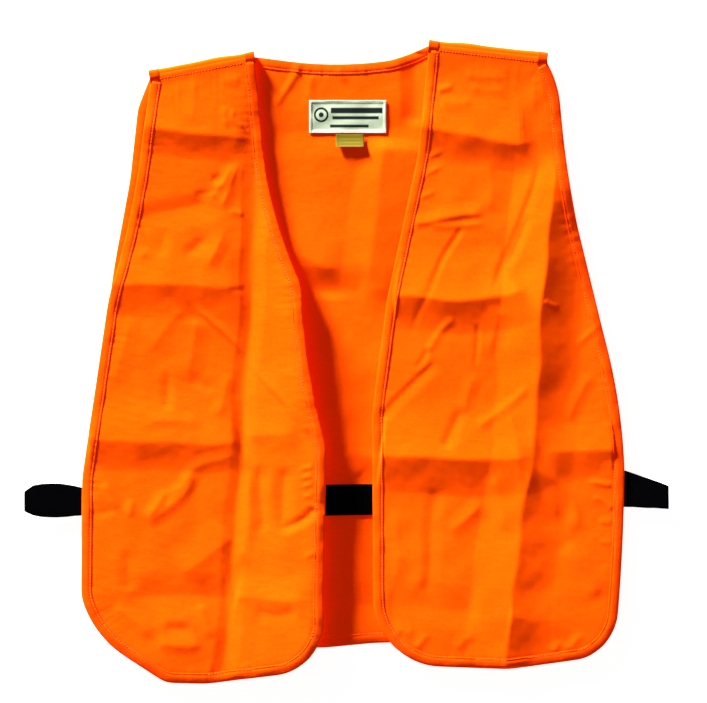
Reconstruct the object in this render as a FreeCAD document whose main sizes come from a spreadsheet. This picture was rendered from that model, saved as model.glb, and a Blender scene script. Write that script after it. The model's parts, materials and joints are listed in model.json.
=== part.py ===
"""Blaze orange vest, laid flat with its front side up.

The frame: +X towards the wearer's left side, +Y towards the neck, +Z up from the table.
The origin is on the table, under the middle of the whole vest. Lengths are in millimetres.

The back lies lowest, the two fronts lie above it, and the cloth turns over at each
shoulder as half a tube about the shoulder line. Black elastic runs across the inside of
the back and leaves each side as a flat loop that comes back to the front.
"""
import FreeCAD, Part
import math
import os
import Sketcher

V = FreeCAD.Vector
SHEET = "Sizes"

# ---------------------------------------------------------------- driving dimensions

SIZES = {
    # the whole vest
    "body_length": 664.0,
    "right_reach": 273.0,
    "left_reach": 286.0,
    # layers, from the table up
    "cloth_rise": 3.0,
    "band_wall": 0.5,
    "body_space": 6.0,
    # edge binding, a channel round the cut edge, and its line of stitching
    "band_width": 9.5,
    "band_bend": 1.0,
    "stitch_inset": 1.2,
    "thread_width": 0.6,
    "thread_rise": 0.25,
    # right shoulder line, from its neck end
    "right_neck_across": 95.5,
    "right_neck_down": 18.3,
    "right_shoulder_length": 108.5,
    "right_shoulder_slope": 10.75,
    # left shoulder line, from its neck end
    "left_neck_across": 85.5,
    "left_neck_down": 6.5,
    "left_shoulder_length": 121.8,
    "left_shoulder_slope": 6.5,
    # shoulder seam, in front of the shoulder line
    "seam_setback": 4.5,
    # elastic
    "elastic_width": 32.0,
    "elastic_rise": 1.2,
    "elastic_up": 189.0,
    "elastic_tilt": 0.8,
    "back_tack_inset": 27.0,
    "front_tack_inset": 22.0,
    "right_loop_out": 58.5,
    "left_loop_out": 45.5,
    "tack_length": 2.5,
    "tack_rise": 0.4,
    "tack_margin": 1.5,
    # neck label and the care tag under its lower edge
    "label_width": 80.7,
    "label_height": 34.8,
    "label_thickness": 0.6,
    "label_corner": 1.5,
    "label_shift": 1.35,
    "label_down": 62.5,
    "label_stitch_inset": 1.8,
    "tag_width": 29.0,
    "tag_length": 13.0,
    "tag_thickness": 0.6,
    "tag_corner": 1.0,
    "tag_shift": 3.5,
    "tag_gap": 0.8,
    "tag_lift": 0.3,
    # the neck's part of the back binding: everything nearer the middle than this
    "neck_zone_across": 150.0,
    "neck_zone_down": 80.0,
}

# Each outline's corners in order, with the radius of the run that starts there: positive
# bulges outwards, negative hollows inwards, 0 is straight. A corner's place is measured
# across from the centre line ("centre") or from the vest's widest line ("side"), and
# along from the highest fold ("top") or from the lowest hem ("hem").
RIGHT_FRONT = [
    ("throat", "centre", 84.0, "top", 135.0, -490.0),
    ("breast", "centre", 47.0, "top", 254.0, -710.0),
    ("waist", "centre", 21.0, "hem", 244.0, 0.0),
    ("low", "centre", 24.0, "hem", 77.0, 58.5),
    ("hem_front", "centre", 66.0, "hem", 10.0, 0.0),
    ("hem_middle", "centre", 144.0, "hem", 0.0, 0.0),
    ("hem_side", "side", 87.0, "hem", 1.0, 0.0),
    ("corner", "side", 41.0, "hem", 31.0, 104.0),
    ("hip", "side", 0.0, "hem", 90.0, 0.0),
    ("rib", "side", 1.0, "hem", 212.0, 0.0),
    ("armpit", "side", 28.0, "top", 269.0, -890.0),
    ("chest", "side", 63.0, "top", 104.0, 0.0),
]

LEFT_FRONT = [
    ("throat", "centre", 74.0, "top", 120.0, 0.0),
    ("breast", "centre", 42.0, "top", 269.0, 0.0),
    ("waist", "centre", 27.0, "hem", 280.0, 0.0),
    ("low", "centre", 28.0, "hem", 82.0, 73.0),
    ("hem_front", "centre", 89.0, "hem", 18.0, 0.0),
    ("hem_middle", "centre", 167.0, "hem", 15.0, 0.0),
    ("hem_side", "side", 43.0, "hem", 25.5, 55.5),
    ("hip", "side", 7.0, "hem", 68.0, 1980.0),
    ("rib", "side", 0.0, "hem", 222.0, 594.0),
    ("armpit", "side", 21.0, "top", 306.0, 0.0),
    ("chest", "side", 48.0, "top", 195.0, -995.0),
    ("shoulder_side", "side", 66.0, "top", 70.0, 98.0),
]

BACK_NECK = [
    ("neck_right", "centre", -63.0, "top", 22.5, -386.0),
    ("neck_left", "centre", 45.0, "top", 22.0, -236.0),
]

BACK_LEFT = [
    ("chest", "side", 52.0, "top", 195.0, 0.0),
    ("armpit", "side", 24.0, "top", 306.0, 0.0),
    ("rib", "side", 5.0, "hem", 222.0, 0.0),
    ("hip", "side", 7.0, "hem", 102.0, 60.0),
    ("hem_side", "side", 50.0, "hem", 47.5, 0.0),
    ("hem_centre", "side", 259.0, "hem", 41.5, 0.0),
]

BACK_RIGHT = [
    ("hem_centre", "side", 249.0, "hem", 36.5, 0.0),
    ("hem_side", "side", 51.0, "hem", 41.0, 60.0),
    ("hip", "side", 11.0, "hem", 92.0, 0.0),
    ("rib", "side", 11.0, "hem", 271.0, 0.0),
    ("armpit", "side", 34.0, "top", 232.0, 0.0),
    ("chest", "side", 50.0, "top", 145.0, 0.0),
    ("shoulder_side", "side", 58.0, "top", 71.0, 0.0),
]

OUTLINES = {
    "right_front": RIGHT_FRONT,
    "left_front": LEFT_FRONT,
    "back": BACK_NECK,
    "back_left": BACK_LEFT,
    "back_right": BACK_RIGHT,
}


# ---------------------------------------------------------------- lengths tied to the sheet

class Term:
    """A size worked out from the sheet: its formula, for an expression, and its value."""

    def __init__(self, text, value):
        self.text = text
        self.value = value

    @staticmethod
    def of(item):
        return item if isinstance(item, Term) else Term(str(item), float(item))

    def __add__(self, other):
        other = Term.of(other)
        return Term(f"({self.text} + {other.text})", self.value + other.value)

    def __sub__(self, other):
        other = Term.of(other)
        return Term(f"({self.text} - {other.text})", self.value - other.value)

    def __mul__(self, other):
        other = Term.of(other)
        return Term(f"({self.text} * {other.text})", self.value * other.value)

    def __truediv__(self, other):
        other = Term.of(other)
        return Term(f"({self.text} / {other.text})", self.value / other.value)

    def __neg__(self):
        return Term(f"(-1 * {self.text})", -self.value)


def cosine(angle):
    return Term(f"cos({angle.text} * 1deg)", math.cos(math.radians(angle.value)))


def sine(angle):
    return Term(f"sin({angle.text} * 1deg)", math.sin(math.radians(angle.value)))


def write_sheet(doc):
    """The spreadsheet with every driving dimension, one aliased cell each."""
    cells = dict(SIZES)
    for panel, corners in OUTLINES.items():
        for corner, _, across, _, along, radius in corners:
            cells[f"{panel}_{corner}_across"] = across
            cells[f"{panel}_{corner}_along"] = along
            cells[f"{panel}_{corner}_radius"] = radius
    sheet = doc.addObject("Spreadsheet::Sheet", SHEET)
    for row, (alias, value) in enumerate(cells.items(), start=1):
        sheet.set(f"A{row}", alias)
        sheet.set(f"B{row}", str(value))
        sheet.setAlias(f"B{row}", alias)
    doc.recompute()
    return sheet


def size(alias):
    """One cell of the sheet."""
    return Term(f"{SHEET}.{alias}", float(SHEET_CELLS.get(alias)))


def bind(item, path, term):
    """Tie a property to the sheet."""
    item.setExpression(path, term.text)


# ---------------------------------------------------------------- corners and outlines

def across_term(panel, corner, reference, sign):
    """X of a corner: from the centre line, or in from the widest line of its side."""
    offset = size(f"{panel}_{corner}_across")
    if reference == "centre":
        return offset * sign
    reach = size("right_reach") if sign < 0 else size("left_reach")
    return (reach - offset) * sign


def along_term(panel, corner, reference):
    """Y of a corner: down from the highest fold or up from the lowest hem."""
    offset = size(f"{panel}_{corner}_along")
    half = size("body_length") / 2
    return half - offset if reference == "top" else offset - half


def corner_points(panel, corners, sign):
    """A list of (x, y, radius of the run that follows, name) for an outline's corners."""
    points = []
    for corner, from_x, _, from_y, _, _ in corners:
        x = across_term(panel, corner, from_x, sign)
        y = along_term(panel, corner, from_y)
        points.append((x, y, size(f"{panel}_{corner}_radius"), f"{panel}_{corner}"))
    return points


def straight(x, y, name):
    """A corner that starts a straight run."""
    return (x, y, Term("0", 0.0), name)


def run_geometry(start, end, radius, clockwise):
    """The line or arc from start to end, and whether the arc runs from end to start."""
    if radius == 0:
        return Part.LineSegment(start, end), False
    chord = end - start
    left = V(-chord.y, chord.x, 0).normalize()
    bulge_left = clockwise == (radius > 0)
    side = 1 if bulge_left else -1
    drop = math.sqrt(radius ** 2 - chord.Length ** 2 / 4)
    centre = (start + end) / 2 - left * side * drop
    first, last = (end, start) if bulge_left else (start, end)
    circle = Part.Circle(centre, V(0, 0, 1), abs(radius))
    first_angle = math.atan2(first.y - centre.y, first.x - centre.x)
    last_angle = math.atan2(last.y - centre.y, last.x - centre.x)
    return Part.ArcOfCircle(circle, first_angle, last_angle), bulge_left


def pin(sketch, geometry, position, x, y, name):
    """Hold one end of a run at a place from the sheet."""
    for kind, place, letter in (("DistanceX", x, "x"), ("DistanceY", y, "y")):
        rule = Sketcher.Constraint(kind, -1, 1, geometry, position, place.value)
        index = sketch.addConstraint(rule)
        sketch.renameConstraint(index, f"{name}_{letter}")
        bind(sketch, f"Constraints.{name}_{letter}", place)


def draw_closed(sketch, points, clockwise):
    """Add a closed chain of runs through the points, every corner pinned, every arc sized."""
    places = [V(x.value, y.value, 0) for x, y, _, _ in points]
    count = len(points)
    backwards = []
    for index, (_, _, radius, name) in enumerate(points):
        end = places[(index + 1) % count]
        run, reverse = run_geometry(places[index], end, radius.value, clockwise)
        sketch.addGeometry(run)
        backwards.append(reverse)
        if radius.value != 0:
            rule = sketch.addConstraint(Sketcher.Constraint("Radius", index, abs(radius.value)))
            sketch.renameConstraint(rule, f"{name}_radius")
            bind(sketch, f"Constraints.{name}_radius", Term(f"abs({radius.text})", 0))
    for index, (x, y, _, name) in enumerate(points):
        following = (index + 1) % count
        end_position = 1 if backwards[index] else 2
        start_position = 2 if backwards[following] else 1
        joint = ("Coincident", index, end_position, following, start_position)
        sketch.addConstraint(Sketcher.Constraint(*joint))
        pin(sketch, index, 2 if backwards[index] else 1, x, y, name)


def outline_sketch(doc, name, points, clockwise):
    """A closed outline on the table's plane."""
    sketch = doc.addObject("Sketcher::SketchObject", f"{name}_outline")
    draw_closed(sketch, points, clockwise)
    return sketch


# ---------------------------------------------------------------- plates, boxes, booleans

def inset(doc, name, sketch, distance):
    """The outline drawn parallel, this far inside."""
    offset = doc.addObject("Part::Offset2D", name)
    offset.Source = sketch
    offset.Join = 2
    bind(offset, "Value", -distance)
    return offset


def plate(doc, name, wire, low, high):
    """A solid with the outline of a closed wire, between two heights."""
    solid = doc.addObject("Part::Extrusion", name)
    solid.Base = wire
    solid.DirMode = "Custom"
    solid.Dir = V(0, 0, 1)
    solid.Solid = True
    bind(solid, "LengthFwd", high)
    bind(solid, "LengthRev", -low)
    return solid


def combine(doc, kind, name, base, tool):
    """Part::Cut, Part::Fuse or Part::Common of two objects."""
    result = doc.addObject(kind, name)
    result.Base = base
    result.Tool = tool
    return result


def box(doc, name, base, spans, angle=None):
    """A box from a base point, turned about Z; spans are its length, width and height."""
    block = doc.addObject("Part::Box", name)
    for path, span in zip(("Length", "Width", "Height"), spans):
        bind(block, path, span)
    for letter, place in zip("xyz", base):
        bind(block, f"Placement.Base.{letter}", place)
    if angle is not None:
        block.Placement = FreeCAD.Placement(block.Placement.Base, FreeCAD.Rotation(V(0, 0, 1), 1))
        bind(block, "Placement.Rotation.Angle", angle)
    return block


class Shoulder:
    """A shoulder line with its own directions: along it, and into the panels (depth)."""

    def __init__(self, side):
        sign = 1 if side == "left" else -1
        slope = size(f"{side}_shoulder_slope")
        self.length = size(f"{side}_shoulder_length")
        self.neck_x = size(f"{side}_neck_across") * sign
        self.neck_y = size("body_length") / 2 - size(f"{side}_neck_down")
        self.outer_x = self.neck_x + cosine(slope) * self.length * sign
        self.outer_y = self.neck_y - sine(slope) * self.length
        self.into = (-(sine(slope) * sign), -cosine(slope))
        self.ahead = (-cosine(slope), sine(slope) * sign)
        self.start = (self.outer_x, self.outer_y) if sign > 0 else (self.neck_x, self.neck_y)
        self.angle = Term("180", 180.0) - slope * sign

    def point(self, end, depth):
        """A place level with one end of the line, this deep into the panels."""
        x, y = (self.neck_x, self.neck_y) if end == "neck" else (self.outer_x, self.outer_y)
        return x + self.into[0] * depth, y + self.into[1] * depth

    def block(self, doc, name, along, depth, heights):
        """A box in the shoulder's own directions, each span given as (from, to)."""
        x, y = self.start
        x = x + self.ahead[0] * along[0] + self.into[0] * depth[0]
        y = y + self.ahead[1] * along[0] + self.into[1] * depth[0]
        spans = [span[1] - span[0] for span in (along, depth, heights)]
        return box(doc, name, (x, y, heights[0]), spans, self.angle)

    def between_bands(self):
        """The stretch of the line that the edge bindings leave free."""
        return size("band_width"), self.length - size("band_width")


# ---------------------------------------------------------------- heights of the layers

def band_height():
    """An edge binding: the cloth's rise and the binding's wall above and below it."""
    return size("cloth_rise") + size("band_wall") * 2


def layer_base(layer):
    """The height of a layer's underside: 0 for the back, above the body space for a front."""
    return Term("0", 0.0) if layer == "back" else band_height() + size("body_space")


def cloth_heights(layer):
    low = layer_base(layer) + size("band_wall")
    return low, low + size("cloth_rise")


# ---------------------------------------------------------------- bound panels

def cut_all(doc, name, solid, tools):
    for index, tool in enumerate(tools):
        solid = combine(doc, "Part::Cut", f"{name}_cut{index}", solid, tool)
    return solid


def panel_solid(doc, name, layer, sketch, shoulders, setback):
    """The cloth: its cut edge sits in the binding's fold, and a lip meets each shoulder."""
    low, high = cloth_heights(layer)
    bend = size("band_bend")
    solid = plate(doc, f"{name}_cloth", inset(doc, f"{name}_cut_edge", sketch, bend), low, high)
    for index, shoulder in enumerate(shoulders):
        depth = (setback, setback + bend * 2)
        lip = shoulder.block(doc, f"{name}_lip{index}", shoulder.between_bands(), depth, (low, high))
        solid = combine(doc, "Part::Fuse", f"{name}_joined{index}", solid, lip)
    return solid


def ring(doc, name, outer, inner, low, high):
    """What lies between two wires, between two heights."""
    whole = plate(doc, f"{name}_whole", outer, low, high)
    middle = plate(doc, f"{name}_middle", inner, low - 1, high + 1)
    return combine(doc, "Part::Cut", f"{name}_ring", whole, middle)


def shoulder_gaps(doc, name, shoulders, setback, low, high):
    """Blocks that clear the shoulder lines of binding and thread."""
    depth = (setback - 1, setback + size("band_width") + 1)
    heights = (low - 1, high + 1)
    return [
        shoulder.block(doc, f"{name}_gap{index}", shoulder.between_bands(), depth, heights)
        for index, shoulder in enumerate(shoulders)
    ]


def binding_solid(doc, name, layer, sketch, shoulders, setback):
    """A channel of cloth folded round the panel's edge, open at the shoulders."""
    low = layer_base(layer)
    high = low + band_height()
    inner = inset(doc, f"{name}_inner_edge", sketch, size("band_width"))
    channel = ring(doc, name, sketch, inner, low, high)
    bend = inset(doc, f"{name}_fold", sketch, size("band_bend"))
    slot = plate(doc, f"{name}_slot", bend, *cloth_heights(layer))
    gaps = shoulder_gaps(doc, name, shoulders, setback, low, high)
    return cut_all(doc, name, channel, [slot] + gaps)


def stitching_solid(doc, name, layer, sketch, shoulders, setback):
    """The line of thread that lies on the binding, just outside its inner edge."""
    low = layer_base(layer) + band_height()
    high = low + size("thread_rise")
    outer_gap = size("band_width") - size("stitch_inset") - size("thread_width")
    outer = inset(doc, f"{name}_outer_line", sketch, outer_gap)
    inner = inset(doc, f"{name}_inner_line", sketch, outer_gap + size("thread_width"))
    thread = ring(doc, name, outer, inner, low, high)
    gaps = shoulder_gaps(doc, name, shoulders, setback, low, high)
    return cut_all(doc, name, thread, gaps)


# ---------------------------------------------------------------- the back

def back_outline(doc, shoulders):
    """Right neck end, round the neck, down the left side, along the hem and back up."""
    right, left = shoulders
    points = [straight(right.neck_x, right.neck_y, "right_neck_end")]
    neck = corner_points("back", BACK_NECK, 1)
    points += neck
    points.append(straight(left.neck_x, left.neck_y, "left_neck_end"))
    points.append(straight(left.outer_x, left.outer_y, "left_outer_end"))
    points += corner_points("back_left", BACK_LEFT, 1)
    points += corner_points("back_right", BACK_RIGHT, -1)
    points.append(straight(right.outer_x, right.outer_y, "right_outer_end"))
    return outline_sketch(doc, "back", points, clockwise=True)


def split_at_neck(doc, name, solid):
    """The neck's part of a ring, and the rest of it."""
    across = size("neck_zone_across")
    down = size("neck_zone_down")
    base = (-across, size("body_length") / 2 - down, Term("-1", -1.0))
    spans = (across * 2, down * 2, band_height() + 2)
    neck_zone = box(doc, f"{name}_neck_zone", base, spans)
    neck = combine(doc, "Part::Common", f"{name}_neck_part", solid, neck_zone)
    edge = combine(doc, "Part::Cut", f"{name}_edge_part", solid, neck_zone)
    return neck, edge


def make_back(doc, shoulders):
    sketch = back_outline(doc, shoulders)
    flush = Term("0", 0.0)
    panel = panel_solid(doc, "back_cloth", "back", sketch, shoulders, flush)
    binding = binding_solid(doc, "back_band", "back", sketch, shoulders, flush)
    thread = stitching_solid(doc, "back_thread", "back", sketch, shoulders, flush)
    neck_binding, edge_binding = split_at_neck(doc, "back_band", binding)
    neck_thread, edge_thread = split_at_neck(doc, "back_thread", thread)
    return {
        "back_panel": panel,
        "back_neck_binding": neck_binding,
        "back_edge_binding": edge_binding,
        "back_neck_stitching": neck_thread,
        "back_edge_stitching": edge_thread,
    }


# ---------------------------------------------------------------- the fronts and shoulders

def front_outline(doc, side, corners, shoulder):
    """From the seam's neck end down the centre edge, along the hem and up the side."""
    sign = 1 if side == "left" else -1
    setback = size("seam_setback")
    points = [straight(*shoulder.point("neck", setback), "seam_neck_end")]
    points += corner_points(f"{side}_front", corners, sign)
    points.append(straight(*shoulder.point("outer", setback), "seam_outer_end"))
    return outline_sketch(doc, f"{side}_front", points, clockwise=sign < 0)


def seam_solid(doc, side, shoulder):
    """The back's cloth that has turned over the shoulder, as far as the front's seam."""
    low, high = cloth_heights("front")
    setback = size("seam_setback")
    full = (Term("0", 0.0), shoulder.length)
    depth = (Term("0", 0.0), setback)
    return shoulder.block(doc, f"{side}_seam_strip", full, depth, (low, high))


def seam_stitching_solid(doc, side, shoulder):
    """A line of thread on the turned cloth, beside the seam."""
    high = cloth_heights("front")[1]
    near = size("seam_setback") - size("stitch_inset") - size("thread_width")
    depth = (near, near + size("thread_width"))
    heights = (high, high + size("thread_rise"))
    full = (Term("0", 0.0), shoulder.length)
    return shoulder.block(doc, f"{side}_seam_thread", full, depth, heights)


# ---------------------------------------------------------------- padded pieces

def origin_plane(body, role):
    """One of a body's own base planes."""
    return next(plane for plane in body.Origin.OriginFeatures if plane.Role == role)


def padded(doc, name, plane, points, clockwise, length, symmetric=False):
    """A body padded from one closed section on its own base plane."""
    body = doc.addObject("PartDesign::Body", f"{name}_body")
    sketch = body.newObject("Sketcher::SketchObject", f"{name}_section")
    sketch.AttachmentSupport = [(origin_plane(body, plane), "")]
    sketch.MapMode = "FlatFace"
    draw_closed(sketch, points, clockwise)
    pad = body.newObject("PartDesign::Pad", f"{name}_pad")
    pad.Profile = sketch
    pad.Midplane = symmetric
    bind(pad, "Length", length)
    return body


def place(body, x, y, z, angle):
    """Put a body at a place from the sheet, turned about Z by an angle from the sheet."""
    body.Placement = FreeCAD.Placement(V(0, 0, 0), FreeCAD.Rotation(V(0, 0, 1), 1))
    for letter, term in zip("xyz", (x, y, z)):
        bind(body, f"Placement.Base.{letter}", term)
    bind(body, "Placement.Rotation.Angle", angle)
    return body


def rounded_rectangle(width, height, radius):
    """Corners of a rectangle about the origin, anticlockwise, each corner a quarter round."""
    x = width / 2
    y = height / 2
    flat = Term("0", 0.0)
    return [
        (radius - x, -y, flat, "south_start"),
        (x - radius, -y, radius, "south_end"),
        (x, radius - y, flat, "east_start"),
        (x, y - radius, radius, "east_end"),
        (x - radius, y, flat, "north_start"),
        (radius - x, y, radius, "north_end"),
        (-x, y - radius, flat, "west_start"),
        (-x, radius - y, radius, "west_end"),
    ]


def fold_body(doc, side, shoulder):
    """The cloth over the shoulder: half a tube, its axis on the shoulder line."""
    axis_height = (layer_base("front") + band_height()) / 2
    outer = axis_height - size("band_wall")
    inner = outer - size("cloth_rise")
    flat = Term("0", 0.0)
    section = [
        (flat, -outer, outer, "outer_low"),
        (-outer, flat, outer, "outer_middle"),
        (flat, outer, flat, "outer_high"),
        (flat, inner, -inner, "inner_high"),
        (-inner, flat, -inner, "inner_middle"),
        (flat, -inner, flat, "inner_low"),
    ]
    body = padded(doc, f"{side}_fold", "YZ_Plane", section, True, shoulder.length)
    return place(body, *shoulder.start, axis_height, shoulder.angle)


# ---------------------------------------------------------------- elastic

def elastic_floor():
    """The elastic lies on the inside of the back."""
    return cloth_heights("back")[1]


def tack_places():
    """X of the back's bar tacks, where the strip ends and each side loop starts."""
    inset_from_side = size("back_tack_inset")
    return inset_from_side - size("right_reach"), size("left_reach") - inset_from_side


def elastic_line(x):
    """The elastic's centre line: a place on it, from its X."""
    tilt = size("elastic_tilt")
    rise = x * sine(tilt) / cosine(tilt)
    return x, size("elastic_up") - size("body_length") / 2 + rise


def on_elastic(doc, name, x, ahead, across, heights):
    """A box along the elastic's line, from a place on it, centred on the line."""
    tilt = size("elastic_tilt")
    base_x, base_y = elastic_line(x)
    base_x = base_x + sine(tilt) * across / 2
    base_y = base_y - cosine(tilt) * across / 2
    spans = (ahead, across, heights[1] - heights[0])
    return box(doc, name, (base_x, base_y, heights[0]), spans, tilt)


def back_elastic_solid(doc):
    right, left = tack_places()
    floor = elastic_floor()
    length = (left - right) / cosine(size("elastic_tilt"))
    heights = (floor, floor + size("elastic_rise"))
    return on_elastic(doc, "back_strip", right, length, size("elastic_width"), heights)


def tack_width():
    return size("elastic_width") - size("tack_margin") * 2


def back_tacks(doc):
    """The two bar tacks that end the strip on the back."""
    right, left = tack_places()
    floor = elastic_floor() + size("elastic_rise")
    heights = (floor, floor + size("tack_rise"))
    length = size("tack_length")
    margin = size("tack_margin")
    starts = {"right": right + margin, "left": left - margin - length}
    tacks = [
        on_elastic(doc, f"{side}_back_tack", start, length, tack_width(), heights)
        for side, start in starts.items()
    ]
    group = doc.addObject("Part::Compound", "back_tack_pair")
    group.Links = tacks
    return group


def loop_body(doc, side):
    """Elastic out of one side: a leg from the back's tack, a round end, a leg to the front.

    The low leg passes over the back's binding and its thread; the high leg lies under the
    front's binding.
    """
    low = band_height() + size("thread_rise")
    high = layer_base("front")
    rise = size("elastic_rise")
    outer = (high - low) / 2
    inner = outer - rise
    middle = (high + low) / 2
    end = size("back_tack_inset") + size(f"{side}_loop_out") - outer
    front_end = size("back_tack_inset") - size("front_tack_inset")
    flat = Term("0", 0.0)
    section = [
        (flat, low, flat, "back_end"),
        (end, low, outer, "outer_low"),
        (end + outer, middle, outer, "outer_middle"),
        (end, high, flat, "outer_high"),
        (front_end, high, flat, "front_end_high"),
        (front_end, high - rise, flat, "front_end_low"),
        (end, high - rise, -inner, "inner_high"),
        (end + inner, middle, -inner, "inner_middle"),
        (end, low + rise, flat, "inner_low"),
        (flat, low + rise, flat, "back_end_high"),
    ]
    body = padded(doc, f"{side}_loop", "XZ_Plane", section, False, size("elastic_width"), True)
    right, left = tack_places()
    turn = size("elastic_tilt") if side == "left" else size("elastic_tilt") + 180
    x, y = elastic_line(left if side == "left" else right)
    return place(body, x, y, flat, turn)


def front_tack(doc, side):
    """The bar tack that holds the elastic under one front."""
    top = layer_base("front") - size("elastic_rise")
    heights = (top - size("tack_rise"), top)
    length = size("tack_length")
    margin = size("tack_margin")
    inset_from_side = size("front_tack_inset")
    if side == "left":
        start = size("left_reach") - inset_from_side + margin
    else:
        start = inset_from_side - size("right_reach") - margin - length
    return on_elastic(doc, f"{side}_front_tack", start, length, tack_width(), heights)


# ---------------------------------------------------------------- label and care tag

def label_place():
    """Centre of the neck label on the inside of the back."""
    y = size("body_length") / 2 - size("label_down") - size("label_height") / 2
    return size("label_shift"), y, cloth_heights("back")[1]


def label_body(doc):
    corners = rounded_rectangle(size("label_width"), size("label_height"), size("label_corner"))
    body = padded(doc, "label", "XY_Plane", corners, False, size("label_thickness"))
    return place(body, *label_place(), Term("0", 0.0))


def label_stitching_solid(doc):
    """Thread round the label, inside its edge."""
    x, y, z = label_place()
    low = z + size("label_thickness")
    high = low + size("thread_rise")
    frames = []
    for name, gap in (("outer", size("label_stitch_inset")), ("inner", size("thread_width"))):
        if frames:
            gap = gap + size("label_stitch_inset")
        width = size("label_width") - gap * 2
        height = size("label_height") - gap * 2
        over = Term.of(len(frames))
        base = (x - width / 2, y - height / 2, low - over)
        spans = (width, height, high - low + over * 2)
        frames.append(box(doc, f"label_thread_{name}", base, spans))
    return combine(doc, "Part::Cut", "label_thread", frames[0], frames[1])


def tag_body(doc):
    """The care tag, lying on the back under the label's lower edge."""
    corners = rounded_rectangle(size("tag_width"), size("tag_length"), size("tag_corner"))
    body = padded(doc, "tag", "XY_Plane", corners, False, size("tag_thickness"))
    _, label_y, panel_top = label_place()
    y = label_y - size("label_height") / 2 - size("tag_gap") - size("tag_length") / 2
    return place(body, size("tag_shift"), y, panel_top + size("tag_lift"), Term("0", 0.0))


# ---------------------------------------------------------------- the whole vest

def make_front(doc, side, corners, shoulder):
    """One front with its binding, stitching, seam and elastic tack."""
    sketch = front_outline(doc, side, corners, shoulder)
    setback = size("seam_setback")
    parts = (f"{side}_cloth", f"{side}_band", f"{side}_thread")
    makers = (panel_solid, binding_solid, stitching_solid)
    made = [make(doc, name, "front", sketch, [shoulder], setback) for make, name in zip(makers, parts)]
    panel, binding, thread = made
    return {
        f"{side}_front_panel": panel,
        f"{side}_front_binding": binding,
        f"{side}_front_stitching": thread,
        f"{side}_shoulder_seam": seam_solid(doc, side, shoulder),
        f"{side}_shoulder_stitching": seam_stitching_solid(doc, side, shoulder),
        f"{side}_elastic_tack": front_tack(doc, side),
    }


def make_vest(doc):
    """Every sub-part, by the name of its node."""
    right = Shoulder("right")
    left = Shoulder("left")
    nodes = make_back(doc, (right, left))
    nodes.update(make_front(doc, "right", RIGHT_FRONT, right))
    nodes.update(make_front(doc, "left", LEFT_FRONT, left))
    nodes["right_shoulder_fold"] = fold_body(doc, "right", right)
    nodes["left_shoulder_fold"] = fold_body(doc, "left", left)
    nodes["back_elastic"] = back_elastic_solid(doc)
    nodes["back_elastic_tacks"] = back_tacks(doc)
    nodes["right_side_elastic"] = loop_body(doc, "right")
    nodes["left_side_elastic"] = loop_body(doc, "left")
    nodes["neck_label"] = label_body(doc)
    nodes["neck_label_stitching"] = label_stitching_solid(doc)
    nodes["care_tag"] = tag_body(doc)
    return nodes


def check(doc, nodes):
    """Stop if any object failed or any sub-part has no sound solid."""
    for item in doc.Objects:
        if "Invalid" in item.State or "Error" in item.State:
            raise ValueError(f"{item.Name} failed: {item.State}")
    for name, item in nodes.items():
        shape = item.Shape
        if shape.isNull() or not shape.isValid() or not shape.Solids:
            raise ValueError(f"{name} has no sound solid")


def write(nodes):
    """Each sub-part in a STEP file of its own."""
    os.makedirs("parts", exist_ok=True)
    for name, item in nodes.items():
        item.Label = name
        item.Shape.exportStep(f"parts/{name}.step")
        bounds = item.Shape.BoundBox
        low = (round(bounds.XMin, 2), round(bounds.YMin, 2), round(bounds.ZMin, 2))
        high = (round(bounds.XMax, 2), round(bounds.YMax, 2), round(bounds.ZMax, 2))
        print(name, len(item.Shape.Solids), "solid(s)", low, high)


doc = FreeCAD.newDocument("Vest")
SHEET_CELLS = write_sheet(doc)
vest = make_vest(doc)
doc.recompute()
check(doc, vest)
write(vest)
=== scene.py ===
# %% [markdown]
# # A blaze orange vest, laid flat
# The vest is one back panel and two fronts of thin woven cloth. Every edge is bound with a narrow
# band of the same cloth, the fronts hang from two shoulder folds, and a black elastic runs inside
# the back and comes out at each side as a loop.
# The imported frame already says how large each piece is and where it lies. This lesson gives those
# plain solids their looks: cloth with fold lines, bound edges, stitches, elastic and a label.

import json
import math

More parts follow.
